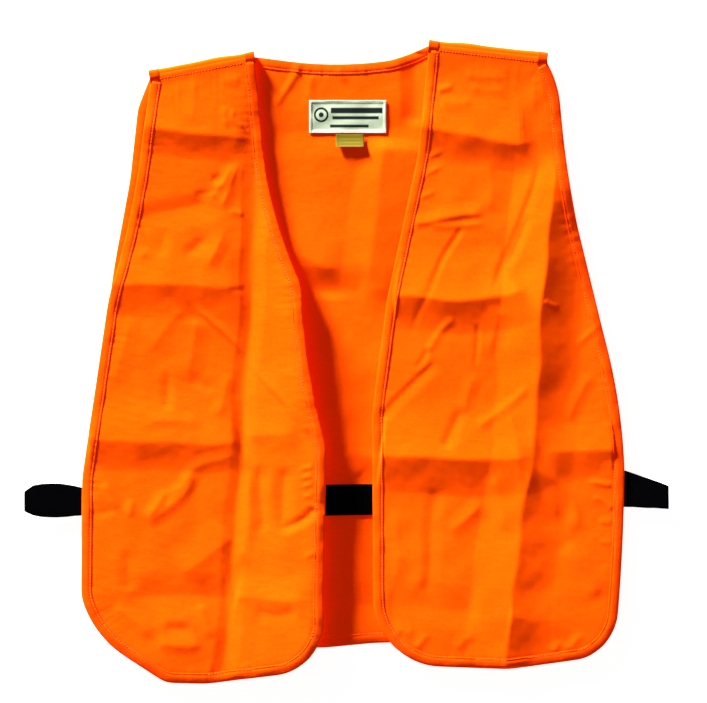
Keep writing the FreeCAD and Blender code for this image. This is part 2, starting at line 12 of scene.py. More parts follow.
import bpy
import numpy as np
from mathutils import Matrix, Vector


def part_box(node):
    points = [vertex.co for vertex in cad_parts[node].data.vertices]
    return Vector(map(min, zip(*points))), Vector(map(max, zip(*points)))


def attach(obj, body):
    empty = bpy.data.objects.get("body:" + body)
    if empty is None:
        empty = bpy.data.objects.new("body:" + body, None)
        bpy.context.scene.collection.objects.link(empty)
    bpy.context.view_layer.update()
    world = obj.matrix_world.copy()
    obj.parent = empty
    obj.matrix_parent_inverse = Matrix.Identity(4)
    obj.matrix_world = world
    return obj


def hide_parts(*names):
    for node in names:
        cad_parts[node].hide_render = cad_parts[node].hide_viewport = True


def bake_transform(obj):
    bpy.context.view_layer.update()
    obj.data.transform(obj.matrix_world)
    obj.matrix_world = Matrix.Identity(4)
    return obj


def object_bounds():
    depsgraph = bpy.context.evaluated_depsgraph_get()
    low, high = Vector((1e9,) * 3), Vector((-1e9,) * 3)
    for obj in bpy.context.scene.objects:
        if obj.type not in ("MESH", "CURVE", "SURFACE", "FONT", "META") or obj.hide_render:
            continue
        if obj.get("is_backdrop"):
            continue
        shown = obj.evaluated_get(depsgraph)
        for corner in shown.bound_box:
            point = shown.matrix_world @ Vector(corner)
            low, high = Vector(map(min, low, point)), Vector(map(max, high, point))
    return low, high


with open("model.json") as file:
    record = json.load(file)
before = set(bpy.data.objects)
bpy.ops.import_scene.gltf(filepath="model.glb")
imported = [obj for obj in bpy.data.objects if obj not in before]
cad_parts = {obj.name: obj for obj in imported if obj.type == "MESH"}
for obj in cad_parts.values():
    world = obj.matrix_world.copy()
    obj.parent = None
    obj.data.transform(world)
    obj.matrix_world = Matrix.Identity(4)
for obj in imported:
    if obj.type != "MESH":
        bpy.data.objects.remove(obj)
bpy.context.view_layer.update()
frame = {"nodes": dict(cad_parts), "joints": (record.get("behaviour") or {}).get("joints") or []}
joints = {joint["name"]: joint for joint in frame["joints"]}

MM = 0.001

# %% [markdown]
# ## From arrays to meshes
# Each piece below is worked out as one whole array of points. A grid of points becomes faces by
# joining each point to its neighbours, so a single function can turn any surface into a mesh. The
# cloth's own flat coordinates, in metres, are kept as the UV map, so that a weave follows the cloth.

# %% Make a mesh from points and faces


def grid_faces(rows, columns, wrap_columns=False):
    """Quads of a grid numbered row by row: point (r, c) joins (r, c+1), (r+1, c+1) and (r+1, c)."""
    r = np.arange(rows - 1)[:, None]
    c = np.arange(columns if wrap_columns else columns - 1)[None, :]
    nr, nc = r + 1, (c + 1) % columns
    corners = [r * columns + c, r * columns + nc, nr * columns + nc, nr * columns + c]
    return np.stack(np.broadcast_arrays(*corners), axis=-1).reshape(-1, 4)


def tube_faces(places, corners, turned):
    """Faces of a closed section carried through several places: its sides and a cap at each end. turned
    reverses them all, so that they face outward."""
    first = np.arange(corners)[None]
    faces = [grid_faces(places, corners, wrap_columns=True), first[:, ::-1], first + (places - 1) * corners]
    return [face[:, ::-1] for face in faces] if turned else faces


def new_piece(name, points, faces, flat=None, materials=()):
    """A mesh object at the origin from points (n, 3) and a list of face arrays; flat is its UV map."""
    mesh = bpy.data.meshes.new(name)
    sizes = np.concatenate([np.full(len(f), f.shape[1]) for f in faces])
    loops = np.concatenate([f.ravel() for f in faces])
    mesh.vertices.add(len(points))
    mesh.vertices.foreach_set("co", np.asarray(points, np.float32).ravel())
    mesh.loops.add(len(loops))
    mesh.loops.foreach_set("vertex_index", loops.astype(np.int32))
    mesh.polygons.add(len(sizes))
    mesh.polygons.foreach_set("loop_start", (np.cumsum(sizes) - sizes).astype(np.int32))
    mesh.update(calc_edges=True)
    mesh.polygons.foreach_set("use_smooth", np.ones(len(sizes), bool))
    if flat is not None:
        mesh.uv_layers.new(name="flat").data.foreach_set("uv", np.asarray(flat, np.float32)[loops].ravel())
    mesh.validate()
    for material in materials:
        mesh.materials.append(material)
    piece = bpy.data.objects.new(name, mesh)
    bpy.context.scene.collection.objects.link(piece)
    return piece


# %% Attach a piece to its body and hide the nodes it stands in for


def stand_in(piece, body, slot, *nodes):
    """The piece moves with that body and is shown instead of those nodes; slot is not used."""
    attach(piece, body)
    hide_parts(*nodes)
    return piece


# %% [markdown]
# ## The outlines
# The outline of each panel is read from the top face of its solid in the frame. The panel is wide
# and plump enough that its outline goes once round its middle, so sorting its points by angle puts
# them in order. Four corners then cut the outline into four sides, and each side is drawn again
# with evenly spaced points and a little softening, because cloth has no hard corners.

# %% Read an outline in order


def outline_of(node):
    """The outline of a solid's top face, anticlockwise, as (n, 2) points sorted by angle round its middle."""
    mesh = frame["nodes"][node].data
    points = np.zeros(len(mesh.vertices) * 3)
    mesh.vertices.foreach_get("co", points)
    points = points.reshape(-1, 3)
    top = np.unique(np.round(points[points[:, 2] > points[:, 2].max() - 1e-6, :2], 6), axis=0)
    middle = (top.min(0) + top.max(0)) / 2
    return top[np.argsort(np.arctan2(top[:, 1] - middle[1], top[:, 0] - middle[0]))]


def run_along(line):
    """The distance along a line at each of its points, from 0 at the first."""
    return np.concatenate([[0], np.cumsum(np.linalg.norm(np.diff(line, axis=0), axis=1))])


def closed(line):
    """The line with its first point again at its end."""
    return np.vstack([line, line[:1]])


def respaced(line, count):
    """The line again, with that many points evenly spaced along its length."""
    along = run_along(line)
    at = np.linspace(0, along[-1], count)
    return np.stack([np.interp(at, along, line[:, k]) for k in range(line.shape[1])], axis=1)


def softened(line, width):
    """The line smoothed by a bell of that width in metres; its two ends stay where they are."""
    fine = respaced(line, 600)
    step = np.linalg.norm(np.diff(fine, axis=0), axis=1).mean()
    half = min(int(3 * width / step), 250)
    bell = np.exp(-0.5 * (np.arange(-half, half + 1) * step / width) ** 2)
    bell /= bell.sum()
    padded = np.vstack([2 * fine[0] - fine[half:0:-1], fine, 2 * fine[-1] - fine[-2 : -half - 2 : -1]])
    return np.stack([np.convolve(padded[:, k], bell, "valid") for k in range(2)], axis=1)


def side_between(outline, start, end, count, width=5 * MM):
    """The outline from the point furthest in direction start to that in direction end, anticlockwise."""
    i, j = (int((outline @ np.array(d)).argmax()) for d in (start, end))
    part = outline[i : j + 1] if i <= j else np.vstack([outline[i:], outline[: j + 1]])
    return respaced(softened(part, width), count)


OUTLINES = {name: outline_of(name) for name in ("back_panel", "right_front_panel", "left_front_panel")}
for name, line in OUTLINES.items():
    print(name, "outline", len(line), "points, perimeter about", round(run_along(closed(line))[-1], 3), "m")

# %% [markdown]
# ## A sheet between four sides
# A Coons patch fills four sides with a grid: it adds the two ways of crossing the sheet and takes
# away the part that both counted, which is the flat patch between the four corners. Its rows follow
# the edges, so the grid bends with the outline and needs no trimming.

# %% Fill four sides with a grid


def coons(top, bottom, left, right):
    """Grid (rows, columns, 2). top and bottom run left to right, left and right run top to bottom."""
    s = np.linspace(0, 1, len(top))[None, :, None]
    t = np.linspace(0, 1, len(left))[:, None, None]
    across = (1 - t) * top[None] + t * bottom[None]
    down = (1 - s) * left[:, None] + s * right[:, None]
    corners = (1 - t) * ((1 - s) * top[0] + s * top[-1]) + t * ((1 - s) * bottom[0] + s * bottom[-1])
    return across + down - corners


def closed_sheet(name, plan, z, thickness, flat, materials):
    """A thin closed sheet over a plan grid (rows, columns, 2), at heights z: its top and bottom layers lie
    half the thickness above and below, and a rim joins them all the way round."""
    rows, columns = plan.shape[:2]
    count = rows * columns
    points = np.vstack([np.column_stack([plan.reshape(-1, 2), z + way * thickness / 2]) for way in (1, -1)])
    quads = grid_faces(rows, columns)
    index = np.arange(count).reshape(rows, columns)
    rim = np.concatenate([index[0, :-1], index[:-1, -1], index[-1, :0:-1], index[:0:-1, 0]])
    following = np.roll(rim, -1)
    wall = np.column_stack([rim, rim + count, following + count, following])
    a, b, c = (points[quads[:, k], :2] for k in range(3))
    turn = np.sum((b - a)[:, 0] * (c - b)[:, 1] - (b - a)[:, 1] * (c - b)[:, 0])
    faces = [quads, quads[:, ::-1] + count, wall]
    if turn < 0:
        faces = [quads[:, ::-1], quads + count, np.roll(wall[:, ::-1], -1, axis=1)]
    return new_piece(name, points, faces, np.vstack([flat, flat]), materials)


# %% [markdown]
# ## Fold lines
# A vest that was folded in its packet keeps the creases: straight lines across and down each panel,
# sharp where the cloth bent and nearly flat between. Cloth simulation could drop the vest on a
# table, but it wouldn't put the creases where these are. So the height of the cloth is written as a
# sum of creases. A crease is a line, a height (a ridge is up, a valley is down), and a reach on
# each side, which is how far from the line the cloth is back at its own level. A short reach is
# the steep side of the fold.

# %% The height of one crease and of many


def eased(t):
    """A smooth step from 0 to 1."""
    t = np.clip(t, 0, 1)
    return t * t * (3 - 2 * t)


def rounded_line(points, times=2):
    """A line with its corners cut: each run keeps its middle half, and the ends stay (Chaikin)."""
    line = np.array(points, float)
    for _ in range(times):
        if len(line) > 2:
            cut = np.stack([0.75 * line[:-1] + 0.25 * line[1:], 0.25 * line[:-1] + 0.75 * line[1:]], axis=1)
            line = np.vstack([line[:1], cut.reshape(-1, 2)[1:-1], line[-1:]])
    return line


def crease(points, height, reach, fade, ease=1.4, tip=1.2):
    """One crease, in millimetres. height is one number, or several at equal steps along the line. reach and
    ease are for the left and the right hand of someone walking the line; a single ease serves both. fade is
    how far from its start and its end the crease has its full height, and tip rounds its top."""
    ease = ease if isinstance(ease, tuple) else (ease, ease)
    return dict(line=rounded_line(points), height=np.atleast_1d(height), reach=reach, tip=tip, ease=ease,
                fade=fade)


def beside(u, v, line):
    """For each point: how far the line is, which hand it is on (left below 0, right above), how far along
    the line it lies, and the line's length."""
    nearest, side, run, start = np.full(u.shape, np.inf), np.zeros(u.shape), np.zeros(u.shape), 0.0
    for a, b in zip(line[:-1], line[1:]):
        d = b - a
        length = math.hypot(*d)
        t = np.clip(((u - a[0]) * d[0] + (v - a[1]) * d[1]) / length**2, 0, 1)
        du, dv = u - a[0] - t * d[0], v - a[1] - t * d[1]
        far = np.hypot(du, dv)
        closer = far < nearest
        nearest = np.where(closer, far, nearest)
        side = np.where(closer, d[0] * dv - d[1] * du, side)
        run = np.where(closer, start + t * length, run)
        start += length
    return nearest, side, run, start


def faded(run, length, fade):
    """1 along the line, easing to 0 over the given distances at its start and its end."""
    return eased(run / max(fade[0], 1e-6)) * eased((length - run) / max(fade[1], 1e-6))


def along_line(numbers, run, length):
    """The numbers, given at equal steps along a line, read off at each distance along it."""
    return np.interp(run / length, np.linspace(0, 1, len(numbers)), numbers)


def crease_height(u, v, fold):
    """height * (1 - d / reach) ** ease, where d is the distance to the line with its tip rounded off."""
    nearest, side, run, length = beside(u, v, fold["line"])
    reach, ease = (np.where(side > 0, fold[key][1], fold[key][0]) for key in ("reach", "ease"))
    away = np.sqrt(nearest**2 + fold["tip"] ** 2) - fold["tip"]
    height = along_line(fold["height"], run, length)
    return height * np.clip(1 - away / reach, 0, 1) ** ease * faded(run, length, fold["fade"])


def slope(points, rise, reach, hand, fade=(50, 50)):
    """A plane that starts at a line and goes up by rise millimetres per millimetre on one hand of it (-1
    left, 1 right), as far as reach. Several rises are given at equal steps along the line."""
    return dict(line=rounded_line(points), rise=np.atleast_1d(rise), reach=reach, hand=hand, fade=fade)


def slope_height(u, v, plane):
    """rise * distance, on one hand of the line only."""
    nearest, side, run, length = beside(u, v, plane["line"])
    away = np.where(side * plane["hand"] > 0, np.minimum(nearest, plane["reach"]), 0)
    return along_line(plane["rise"], run, length) * away * faded(run, length, plane["fade"])


def ripples(u, v, wavelength, seed, waves=14):
    """Soft random ripples, about -1 to 1: a sum of waves of nearly that length in seeded directions."""
    random = np.random.default_rng(seed)
    angle, phase = random.uniform(0, 2 * np.pi, (2, waves))
    number = 2 * np.pi / (wavelength * random.uniform(0.7, 1.5, waves))
    total = sum(np.sin(n * (u * np.cos(a) + v * np.sin(a)) + p) for n, a, p in zip(number, angle, phase))
    return total / np.sqrt(waves / 2) / 1.6


def nearest_on(ring, x, y):
    """How far each point is from the nearest of the ring's points, and which one that is. The points are
    taken a share at a time, to keep the array of all distances small."""
    away, which = np.empty(x.shape), np.empty(x.shape, int)
    for part in np.array_split(np.arange(len(x)), 40):
        d = np.hypot(x[part, None] - ring[None, :, 0], y[part, None] - ring[None, :, 1])
        which[part] = d.argmin(1)
        away[part] = d[np.arange(len(part)), which[part]]
    return away, which


def edge_puckers(x, y, edge, seed, height=0.24, wavelength=7.0, depth=11.0):
    """Short puckers that a line of stitching pulls into the cloth: ripples along the edge, in
    millimetres, that die away inwards from it."""
    away, which = nearest_on(edge, x, y)
    away, run = away / MM, run_along(edge)[which] / MM
    wave = ripples(run, 0.25 * away, wavelength, seed, waves=9)
    strength = 0.55 + 0.45 * ripples(run, 0 * run, 90.0, seed + 1, waves=5)
    return height * wave * strength * np.exp(-np.clip(away - 7, 0, None) / depth)


# %% [markdown]
# ## Where the folds lie
# The folds are given as a tailor would chalk them: so many millimetres across from the panel's
# left side as it lies, and so many down from its top. The vest was folded in four along its length,
# so every panel has three creases across, and one crease runs down each front.

# %% Folds of the right front

RIGHT_FOLDS = [
    # creases across, from the neck down
    crease([(50, 67), (80, 69), (121, 73), (157, 77), (176, 80)],
           [4.4, 4.6, 4.4, 3.2], (58, 27), (3, 20), ease=(1.5, 1.35)),
    crease([(56, 162), (78, 154), (100, 151), (124, 147), (134, 139)], -2.0, (15, 24), (6, 16), ease=1.5),
    crease([(28, 227), (72, 229), (111, 231), (147, 232), (172, 229)],
           [4.5, 4.5, 4.4, 3.0], (55, 34), (3, 24), ease=1.45),
    crease([(5, 389), (40, 390), (80, 391), (141, 393), (166, 390)],
           [4.1, 3.6, 3.7, 3.0], (58, 30), (2, 12), ease=(1.5, 1.3)),
    crease([(168, 386), (195, 383), (228, 381)], 1.6, (28, 20), (8, 20)),
    crease([(40, 549), (90, 549), (153, 551)], -2.0, (24, 30), (30, 6)),
    crease([(156, 549), (198, 556), (240, 554)], 1.8, (26, 26), (6, 20)),
    # the crease down
    crease([(177, 78), (176, 121), (175, 173), (174, 230), (169, 286), (167, 317), (165, 348), (165, 390),
            (163, 410), (159, 445), (156, 487), (153, 548), (150, 581), (145, 612), (143, 634)],
           [-0.6, -2.2, -2.4, -2.2, -1.6, -1.1, -1.4, -1.7, -1.8, -2.0], (15, 11), (40, 2),
           ease=(1.15, 1.1), tip=0.7),
    # pulls and pinches above the second crease across
    crease([(159, 47), (154, 53), (158, 62), (170, 69)], 0.8, (5, 4), (6, 10), ease=1.5, tip=0.9),
    crease([(146, 42), (149, 58), (148, 70)], 0.8, (9, 6), (8, 10), ease=1.5),
    crease([(112, 14), (116, 40), (112, 66)], 0.8, (16, 18), (14, 14), ease=1.5),
    crease([(140, 20), (152, 17), (164, 20)], 0.9, (10, 9), (8, 8), ease=1.5),
    crease([(162, 96), (157, 118), (149, 142), (142, 154)], 1.2, (10, 9), (18, 14), ease=1.45),
    crease([(154, 104), (150, 121), (139, 132), (132, 142)], 1.2, (8, 9), (12, 8)),
    crease([(131, 122), (148, 118)], -0.9, (6, 7), (8, 8), ease=1.5),
    crease([(114, 138), (130, 135), (144, 131)], -0.9, (7, 8), (10, 8), ease=1.5),
    crease([(150, 155), (168, 158)], 0.6, (5, 4), (6, 5), ease=1.5),
    crease([(147, 170), (136, 193), (126, 216)], 1.4, (12, 14), (18, 18)),
    crease([(126, 178), (116, 190), (101, 201)], -0.9, (9, 8), (10, 12)),
    crease([(88, 168), (82, 186), (80, 204)], -0.9, (11, 12), (12, 14), ease=1.5),
    crease([(68, 188), (60, 206)], 0.8, (12, 10), (10, 10), ease=1.5),
    # between the second and the third
    crease([(148, 233), (161, 235), (172, 234)], -0.45, (4, 5), (12, 8), tip=0.7),
    crease([(114, 248), (131, 264), (157, 289), (177, 315), (201, 343), (223, 368), (236, 384)],
           1.3, (7, 3.4), (22, 12), ease=1.3, tip=0.6),
    crease([(66, 302), (88, 272), (106, 252)], 1.3, (24, 26), (20, 10)),
    crease([(120, 262), (114, 300), (104, 330)], 1.3, (16, 20), (12, 20), ease=1.5),
    crease([(87, 316), (88, 342), (86, 362)], -1.0, (9, 8), (16, 10), ease=1.5),
    crease([(108, 322), (122, 330), (136, 336)], -0.8, (8, 9), (10, 10), ease=1.5),
    crease([(152, 318), (145, 344), (138, 368)], 0.9, (12, 12), (14, 14), ease=1.5),
    crease([(60, 372), (104, 370), (126, 374)], 0.7, (12, 8), (14, 14), ease=1.5),
    crease([(48, 258), (40, 300), (34, 340)], 0.9, (16, 18), (20, 20), ease=1.5),
    # below the third: pulls from the elastic and from the crossing
    crease([(165, 401), (147, 408), (126, 412), (113, 419), (106, 431), (99, 440), (82, 444)],
           0.8, (13, 9), (24, 14), tip=0.8),
    crease([(112, 420), (109, 438), (95, 452), (80, 464), (66, 478)], 1.1, (9, 14), (10, 14)),
    crease([(85, 440), (78, 456), (65, 473)], 1.0, (6, 9), (8, 12)),
    crease([(50, 449), (50, 470)], 0.9, (6, 7), (8, 8)),
    crease([(8, 466), (24, 464), (36, 453)], -0.9, (14, 6), (2, 10), ease=1.3),
    crease([(20, 430), (30, 448), (34, 462)], 0.9, (9, 8), (10, 6), ease=1.5),
    crease([(156, 488), (136, 506), (122, 515), (98, 530)], 1.9, (34, 30), (6, 18), ease=1.35),
    crease([(45, 500), (47, 524), (48, 545)], -1.1, (14, 12), (14, 10), ease=1.5),
    crease([(84, 582), (100, 586), (116, 584)], -1.0, (8, 10), (10, 10), ease=1.5),
    crease([(76, 598), (98, 602), (124, 600)], 0.9, (10, 8), (10, 10), ease=1.5),
    crease([(30, 560), (52, 574), (74, 594)], 1.0, (12, 12), (10, 14), ease=1.5),
    crease([(120, 556), (126, 574), (132, 596)], 0.8, (10, 9), (8, 12), ease=1.5),
    crease([(180, 414), (186, 450), (184, 490)], -1.5, (13, 12), (16, 18)),
    crease([(209, 414), (209, 450), (203, 488)], -1.5, (13, 13), (14, 18)),
    crease([(239, 459), (229, 472), (200, 483)], -1.4, (8, 7), (2, 14), tip=0.8),
    crease([(172, 420), (170, 470), (164, 520)], 0.9, (10, 12), (14, 20), ease=1.5),
    crease([(176, 566), (200, 572), (226, 566)], -0.9, (12, 12), (12, 12), ease=1.5),
    crease([(222, 420), (238, 416)], 0.7, (4, 3.5), (6, 2), tip=0.7),
    crease([(224, 429), (238, 425)], 0.7, (4, 3.5), (6, 2), tip=0.7),
    crease([(225, 438), (238, 434)], 0.6, (4, 3.5), (6, 2), tip=0.7),
    crease([(227, 448), (239, 445)], 0.6, (4, 3.5), (6, 2), tip=0.7),
    crease([(226, 510), (240, 506)], 0.6, (5, 4), (6, 2), tip=0.7),
]
print("right front", len(RIGHT_FOLDS), "creases")

# %% Folds of the left front

LEFT_FOLDS = [
    # creases across, from the neck down
    crease([(46, 77), (79, 84), (104, 89), (130, 94), (151, 97), (170, 92)],
           [5.0, 4.7, 4.9, 4.0], (54, 29), (3, 20), ease=(1.5, 1.35)),
    crease([(40, 179), (58, 175), (78, 170), (99, 167), (116, 169)], 1.5, (13, 7), (6, 16), tip=0.8),
    crease([(56, 181), (85, 179), (120, 178)], 0.8, (5, 7), (10, 18), tip=0.8),
    crease([(22, 252), (48, 254), (79, 256), (109, 256), (130, 254), (145, 249), (160, 241)],
           [5.0, 6.0, 6.4, 6.2, 4.8], (54, 35), (2, 18), ease=(1.5, 1.25)),
    crease([(6, 416), (47, 419), (107, 421), (143, 422), (166, 416)],
           [6.2, 6.4, 6.4, 5.8, 3.6], (66, 37), (2, 20), ease=(1.5, 1.2)),
    crease([(168, 415), (192, 413), (222, 412), (248, 411)],
           [1.2, 2.4, 3.0, 3.2], (36, 30), (20, 2), ease=1.35),
    crease([(14, 573), (73, 576), (112, 575)], -2.2, (26, 20), (8, 20)),
    crease([(139, 583), (168, 587), (206, 586)], [1.3, 1.4, 0.9], (28, 36), (2, 30)),
    # the crease down
    crease([(188, 99), (182, 175), (177, 216), (173, 257), (170, 298), (168, 360), (165, 410), (162, 432),
            (151, 491), (145, 536), (139, 583), (137, 636)],
           [5.0, 8.4, 9.8, 10.2, 8.6, 7.6, 6.8, 6.4, 6.2, 5.6, 5.2], (44, 42), (44, 1),
           ease=(1.5, 1.03), tip=0.6),
    # pulls and pinches above the second crease across
    crease([(66, 41), (84, 36)], 0.9, (6, 5), (2, 8), tip=0.8),
    crease([(55, 111), (75, 101)], 0.7, (6, 4), (2, 12), tip=0.7),
    crease([(52, 129), (74, 118)], 0.8, (6, 4), (2, 12), tip=0.7),
    crease([(48, 150), (66, 143)], 0.7, (5, 4), (2, 8), tip=0.7),
    crease([(86, 26), (114, 28), (142, 26)], 1.1, (14, 13), (16, 16), ease=1.5),
    crease([(96, 38), (120, 41), (140, 38)], 0.8, (8, 10), (10, 10), ease=1.5),
    crease([(176, 18), (172, 36), (174, 56)], 0.7, (9, 9), (8, 14)),
    crease([(166, 24), (163, 44), (164, 66)], 0.6, (10, 10), (8, 14), ease=1.5),
    crease([(66, 52), (84, 56), (104, 54)], 0.7, (9, 10), (8, 10), ease=1.5),
    crease([(169, 112), (161, 154), (145, 195), (130, 226), (121, 254)], -0.9, (9, 5), (20, 22), tip=0.8),
    crease([(161, 168), (151, 195), (135, 226)], -0.9, (7, 5), (12, 14), tip=0.9),
    crease([(118, 110), (122, 140), (118, 170)], 0.9, (18, 18), (14, 14), ease=1.5),
    crease([(90, 180), (83, 196), (68, 221), (58, 242), (44, 276), (38, 300)],
           [-1.0, -1.0, -0.7, -0.4, -0.5], (5, 5.5), (10, 20), ease=1.3, tip=0.7),
    # between the second and the third
    crease([(86, 274), (73, 284), (63, 298), (52, 314)], 0.8, (6, 5), (14, 10), ease=1.3, tip=0.7),
    crease([(106, 280), (108, 306), (106, 326)], -0.7, (4, 4), (10, 10), tip=0.8),
    crease([(56, 306), (50, 318), (42, 330)], -0.8, (5, 4), (6, 8), tip=0.8),
    crease([(68, 316), (48, 337), (31, 354), (16, 367), (6, 378)],
           -1.3, (10, 5.5), (20, 3), ease=1.3, tip=0.7),
    crease([(132, 262), (124, 290), (120, 320)], 1.2, (14, 18), (12, 20), ease=1.5),
    crease([(92, 366), (80, 393), (72, 410)], -1.2, (10, 8), (14, 6)),
    crease([(104, 330), (96, 352), (92, 376)], 0.8, (10, 10), (12, 12), ease=1.5),
    crease([(160, 346), (132, 371), (104, 391)], 0.9, (8, 7), (8, 16)),
    crease([(176, 257), (184, 262), (193, 265)], 0.7, (4, 4), (2, 6), tip=0.7),
    crease([(238, 278), (224, 292), (208, 306)], 0.7, (5, 5), (2, 12), tip=0.8),
    crease([(226, 330), (208, 362), (200, 384)], 0.8, (10, 10), (12, 12), ease=1.5),
    # below the third
    crease([(168, 429), (180, 436), (192, 446), (204, 461), (210, 480), (211, 500)],
           1.0, (9, 14), (26, 20), ease=1.5),
    crease([(176, 448), (186, 464), (190, 486)], 0.7, (8, 10), (12, 16), ease=1.5),
    crease([(218, 444), (246, 448)], 0.9, (5, 5), (10, 3), tip=0.8),
    crease([(224, 459), (236, 464), (246, 473)], 1.0, (5, 5), (8, 2), tip=0.8),
    crease([(232, 486), (246, 487)], 0.7, (5, 4), (6, 2), tip=0.8),
    crease([(232, 508), (246, 507)], 0.7, (5, 4), (6, 2), tip=0.8),
    crease([(62, 449), (59, 500), (58, 540), (55, 566)], -1.3, (12, 9), (14, 12)),
    crease([(76, 498), (94, 482), (114, 463)], 1.2, (13, 14), (12, 12), ease=1.5),
    crease([(20, 470), (26, 510), (22, 552)], 0.8, (14, 14), (16, 16), ease=1.5),
    crease([(120, 436), (132, 470), (136, 500)], 0.9, (16, 14), (14, 16), ease=1.5),
    crease([(196, 506), (214, 530), (232, 566)], 1.3, (20, 20), (14, 14), ease=1.5),
    crease([(43, 616), (57, 598)], 0.9, (8, 6), (3, 8)),
    crease([(84, 617), (104, 596)], 0.9, (10, 8), (4, 10)),
    crease([(183, 620), (194, 606)], 0.9, (7, 7), (3, 8)),
    crease([(198, 618), (217, 598)], 0.9, (7, 7), (3, 10)),
    crease([(20, 592), (34, 600), (44, 598)], 0.8, (10, 10), (6, 8), ease=1.5),
]
print("left front", len(LEFT_FOLDS), "creases")

# %% Folds of the back

BACK_FOLDS = [
    crease([(332, 4), (331, 40), (330, 84)], -3.0, (16, 14), (2, 12), ease=1.2, tip=0.8),
    crease([(150, 88), (240, 87), (340, 83)], -1.4, (22, 28), (20, 20)),
    crease([(212, 14), (206, 34), (193, 53), (187, 62)], 1.1, (6, 6), (4, 8), tip=0.8),
    crease([(226, 24), (222, 46), (226, 70)], 0.8, (9, 9), (8, 12), ease=1.5),
    crease([(250, 22), (262, 40)], 0.7, (7, 7), (6, 8), ease=1.5),
    crease([(170, 204), (200, 212), (232, 222), (276, 240)],
           [4.0, 4.0, 3.8, 2.8], (60, 27), (16, 52), ease=(1.5, 1.02), tip=0.9),
    crease([(170, 250), (200, 251), (240, 251), (286, 251)], -2.4, (25, 9), (16, 52), ease=1.02, tip=0.8),
    crease([(272, 248), (294, 252), (318, 250)], 1.4, (30, 24), (20, 20)),
    crease([(301, 92), (296, 150), (288, 200), (280, 262)], 4.0, (56, 27), (16, 40), ease=1.2),
    crease([(300, 300), (304, 380), (296, 420)], 1.2, (30, 20), (40, 30)),
    crease([(236, 388), (254, 418), (273, 446)], 1.6, (20, 20), (16, 8)),
    crease([(234, 330), (236, 420), (238, 500), (240, 610)], 3.2, (20, 52), (50, 4), ease=1.1),
    crease([(225, 575), (262, 574), (305, 574)], -1.6, (22, 17), (20, 20)),
    crease([(60, 255), (120, 252), (185, 252)], 1.6, (30, 26), (20, 20)),
    crease([(60, 420), (200, 424), (440, 420)], 1.6, (30, 26), (20, 20)),
]
print("back", len(BACK_FOLDS), "creases")

# %% [markdown]
# ## The height of each panel
# The back lies on the table. The fronts lie on the back, and stand a little off it, because two
# bound edges and the elastic are between them. Their outer edges droop. The creases are added last.

# %% Heights of the three panels

BOX = {name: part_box(name) for name in OUTLINES}
CLOTH = 0.55 * MM
# all in millimetres
FOLD_RADIUS, HINGE_LEVEL, NECK_HALF, ROLLED_EDGE = 5.2, 7, 80, 1.1
RIPPLES = ((0.3, 95), (0.14, 34), (0.045, 13))


def shoulder_line(side):
    """The hinge line of a shoulder: its neck end, its direction, the way out from it, and its length."""
    hinge = joints[f"{side}_front_lift"]
    start, axis = np.array(hinge["pos_m"]), np.array(hinge["axis"])
    axis = axis * np.sign(axis[0]) * (-1 if start[0] < 0 else 1)
    low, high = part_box(f"{side}_shoulder_fold")
    length = (high.x - low.x) / abs(axis[0])
    out = np.array([-axis[1], axis[0], 0.0])
    return start, axis, out * np.sign(out[1]), length


SIDES = ("right", "left")
SHOULDERS = {f"{side}_front": shoulder_line(side) for side in SIDES}


def behind(front, x, y):
    """Millimetres from points back to the hinge line of a front's shoulder."""
    start, _, out, _ = SHOULDERS[front]
    return -((x - start[0]) * out[0] + (y - start[1]) * out[1]) / MM


def behind_shoulder(node, x, y):
    """Millimetres from a panel's points back to its nearest shoulder's hinge line."""
    fronts = [front for front in SHOULDERS if node in ("back_panel", f"{front}_panel")]
    return np.min([behind(front, x, y) for front in fronts], axis=0)


def tailor_chart(node, x, y):
    """Millimetres across from a panel's left side and down from its top."""
    low, high = BOX[node]
    return (x - low.x) / MM, (high.y - y) / MM


def soft_limit(z, low, high, knee=0.8):
    """z kept between low and high, with a soft knee at both."""
    z = low + knee * np.logaddexp(0, (z - low) / knee)
    return high - knee * np.logaddexp(0, (high - z) / knee)


def panel_height(node, folds, planes, seed, base, droop, low, high, level):
    """The height function of one panel: base, less a droop and a rolled edge near its outline, plus its
    planes, creases and ripples, kept between low and high. Near the shoulders it comes to the level of the
    fold. It reckons in millimetres and returns metres."""
    outline = OUTLINES[node]
    edge, ring = (respaced(closed(outline), count) for count in (700, 420))

    def height(x, y):
        u, v = tailor_chart(node, x, y)
        wander_u = u + 1.3 * ripples(u, v, 70, seed)
        wander_v = v + 1.3 * ripples(u, v, 80, seed + 1)
        total = sum(crease_height(wander_u, wander_v, fold) for fold in folds)
        total = total + sum(slope_height(u, v, plane) for plane in planes)
        for shift, (rise, wavelength) in enumerate(RIPPLES, start=2):
            total = total + rise * ripples(u, v, wavelength, seed + shift)
        total = total + edge_puckers(x, y, edge, seed + 5)
        edge_away = nearest_on(ring, x, y)[0] / MM
        drop = droop * (1 - eased(edge_away / 55)) * eased(v / 120)
        drop = drop + ROLLED_EDGE * (1 - eased(edge_away / 13)) * eased(v / 30)
        z = soft_limit(base + total - drop, low, high)
        share = eased(1 - behind_shoulder(node, x, y) / 30)
        if node == "back_panel":
            share = share * eased((np.abs(x) / MM - NECK_HALF) / 15)
        return (z * (1 - share) + level * share) * MM

    return height


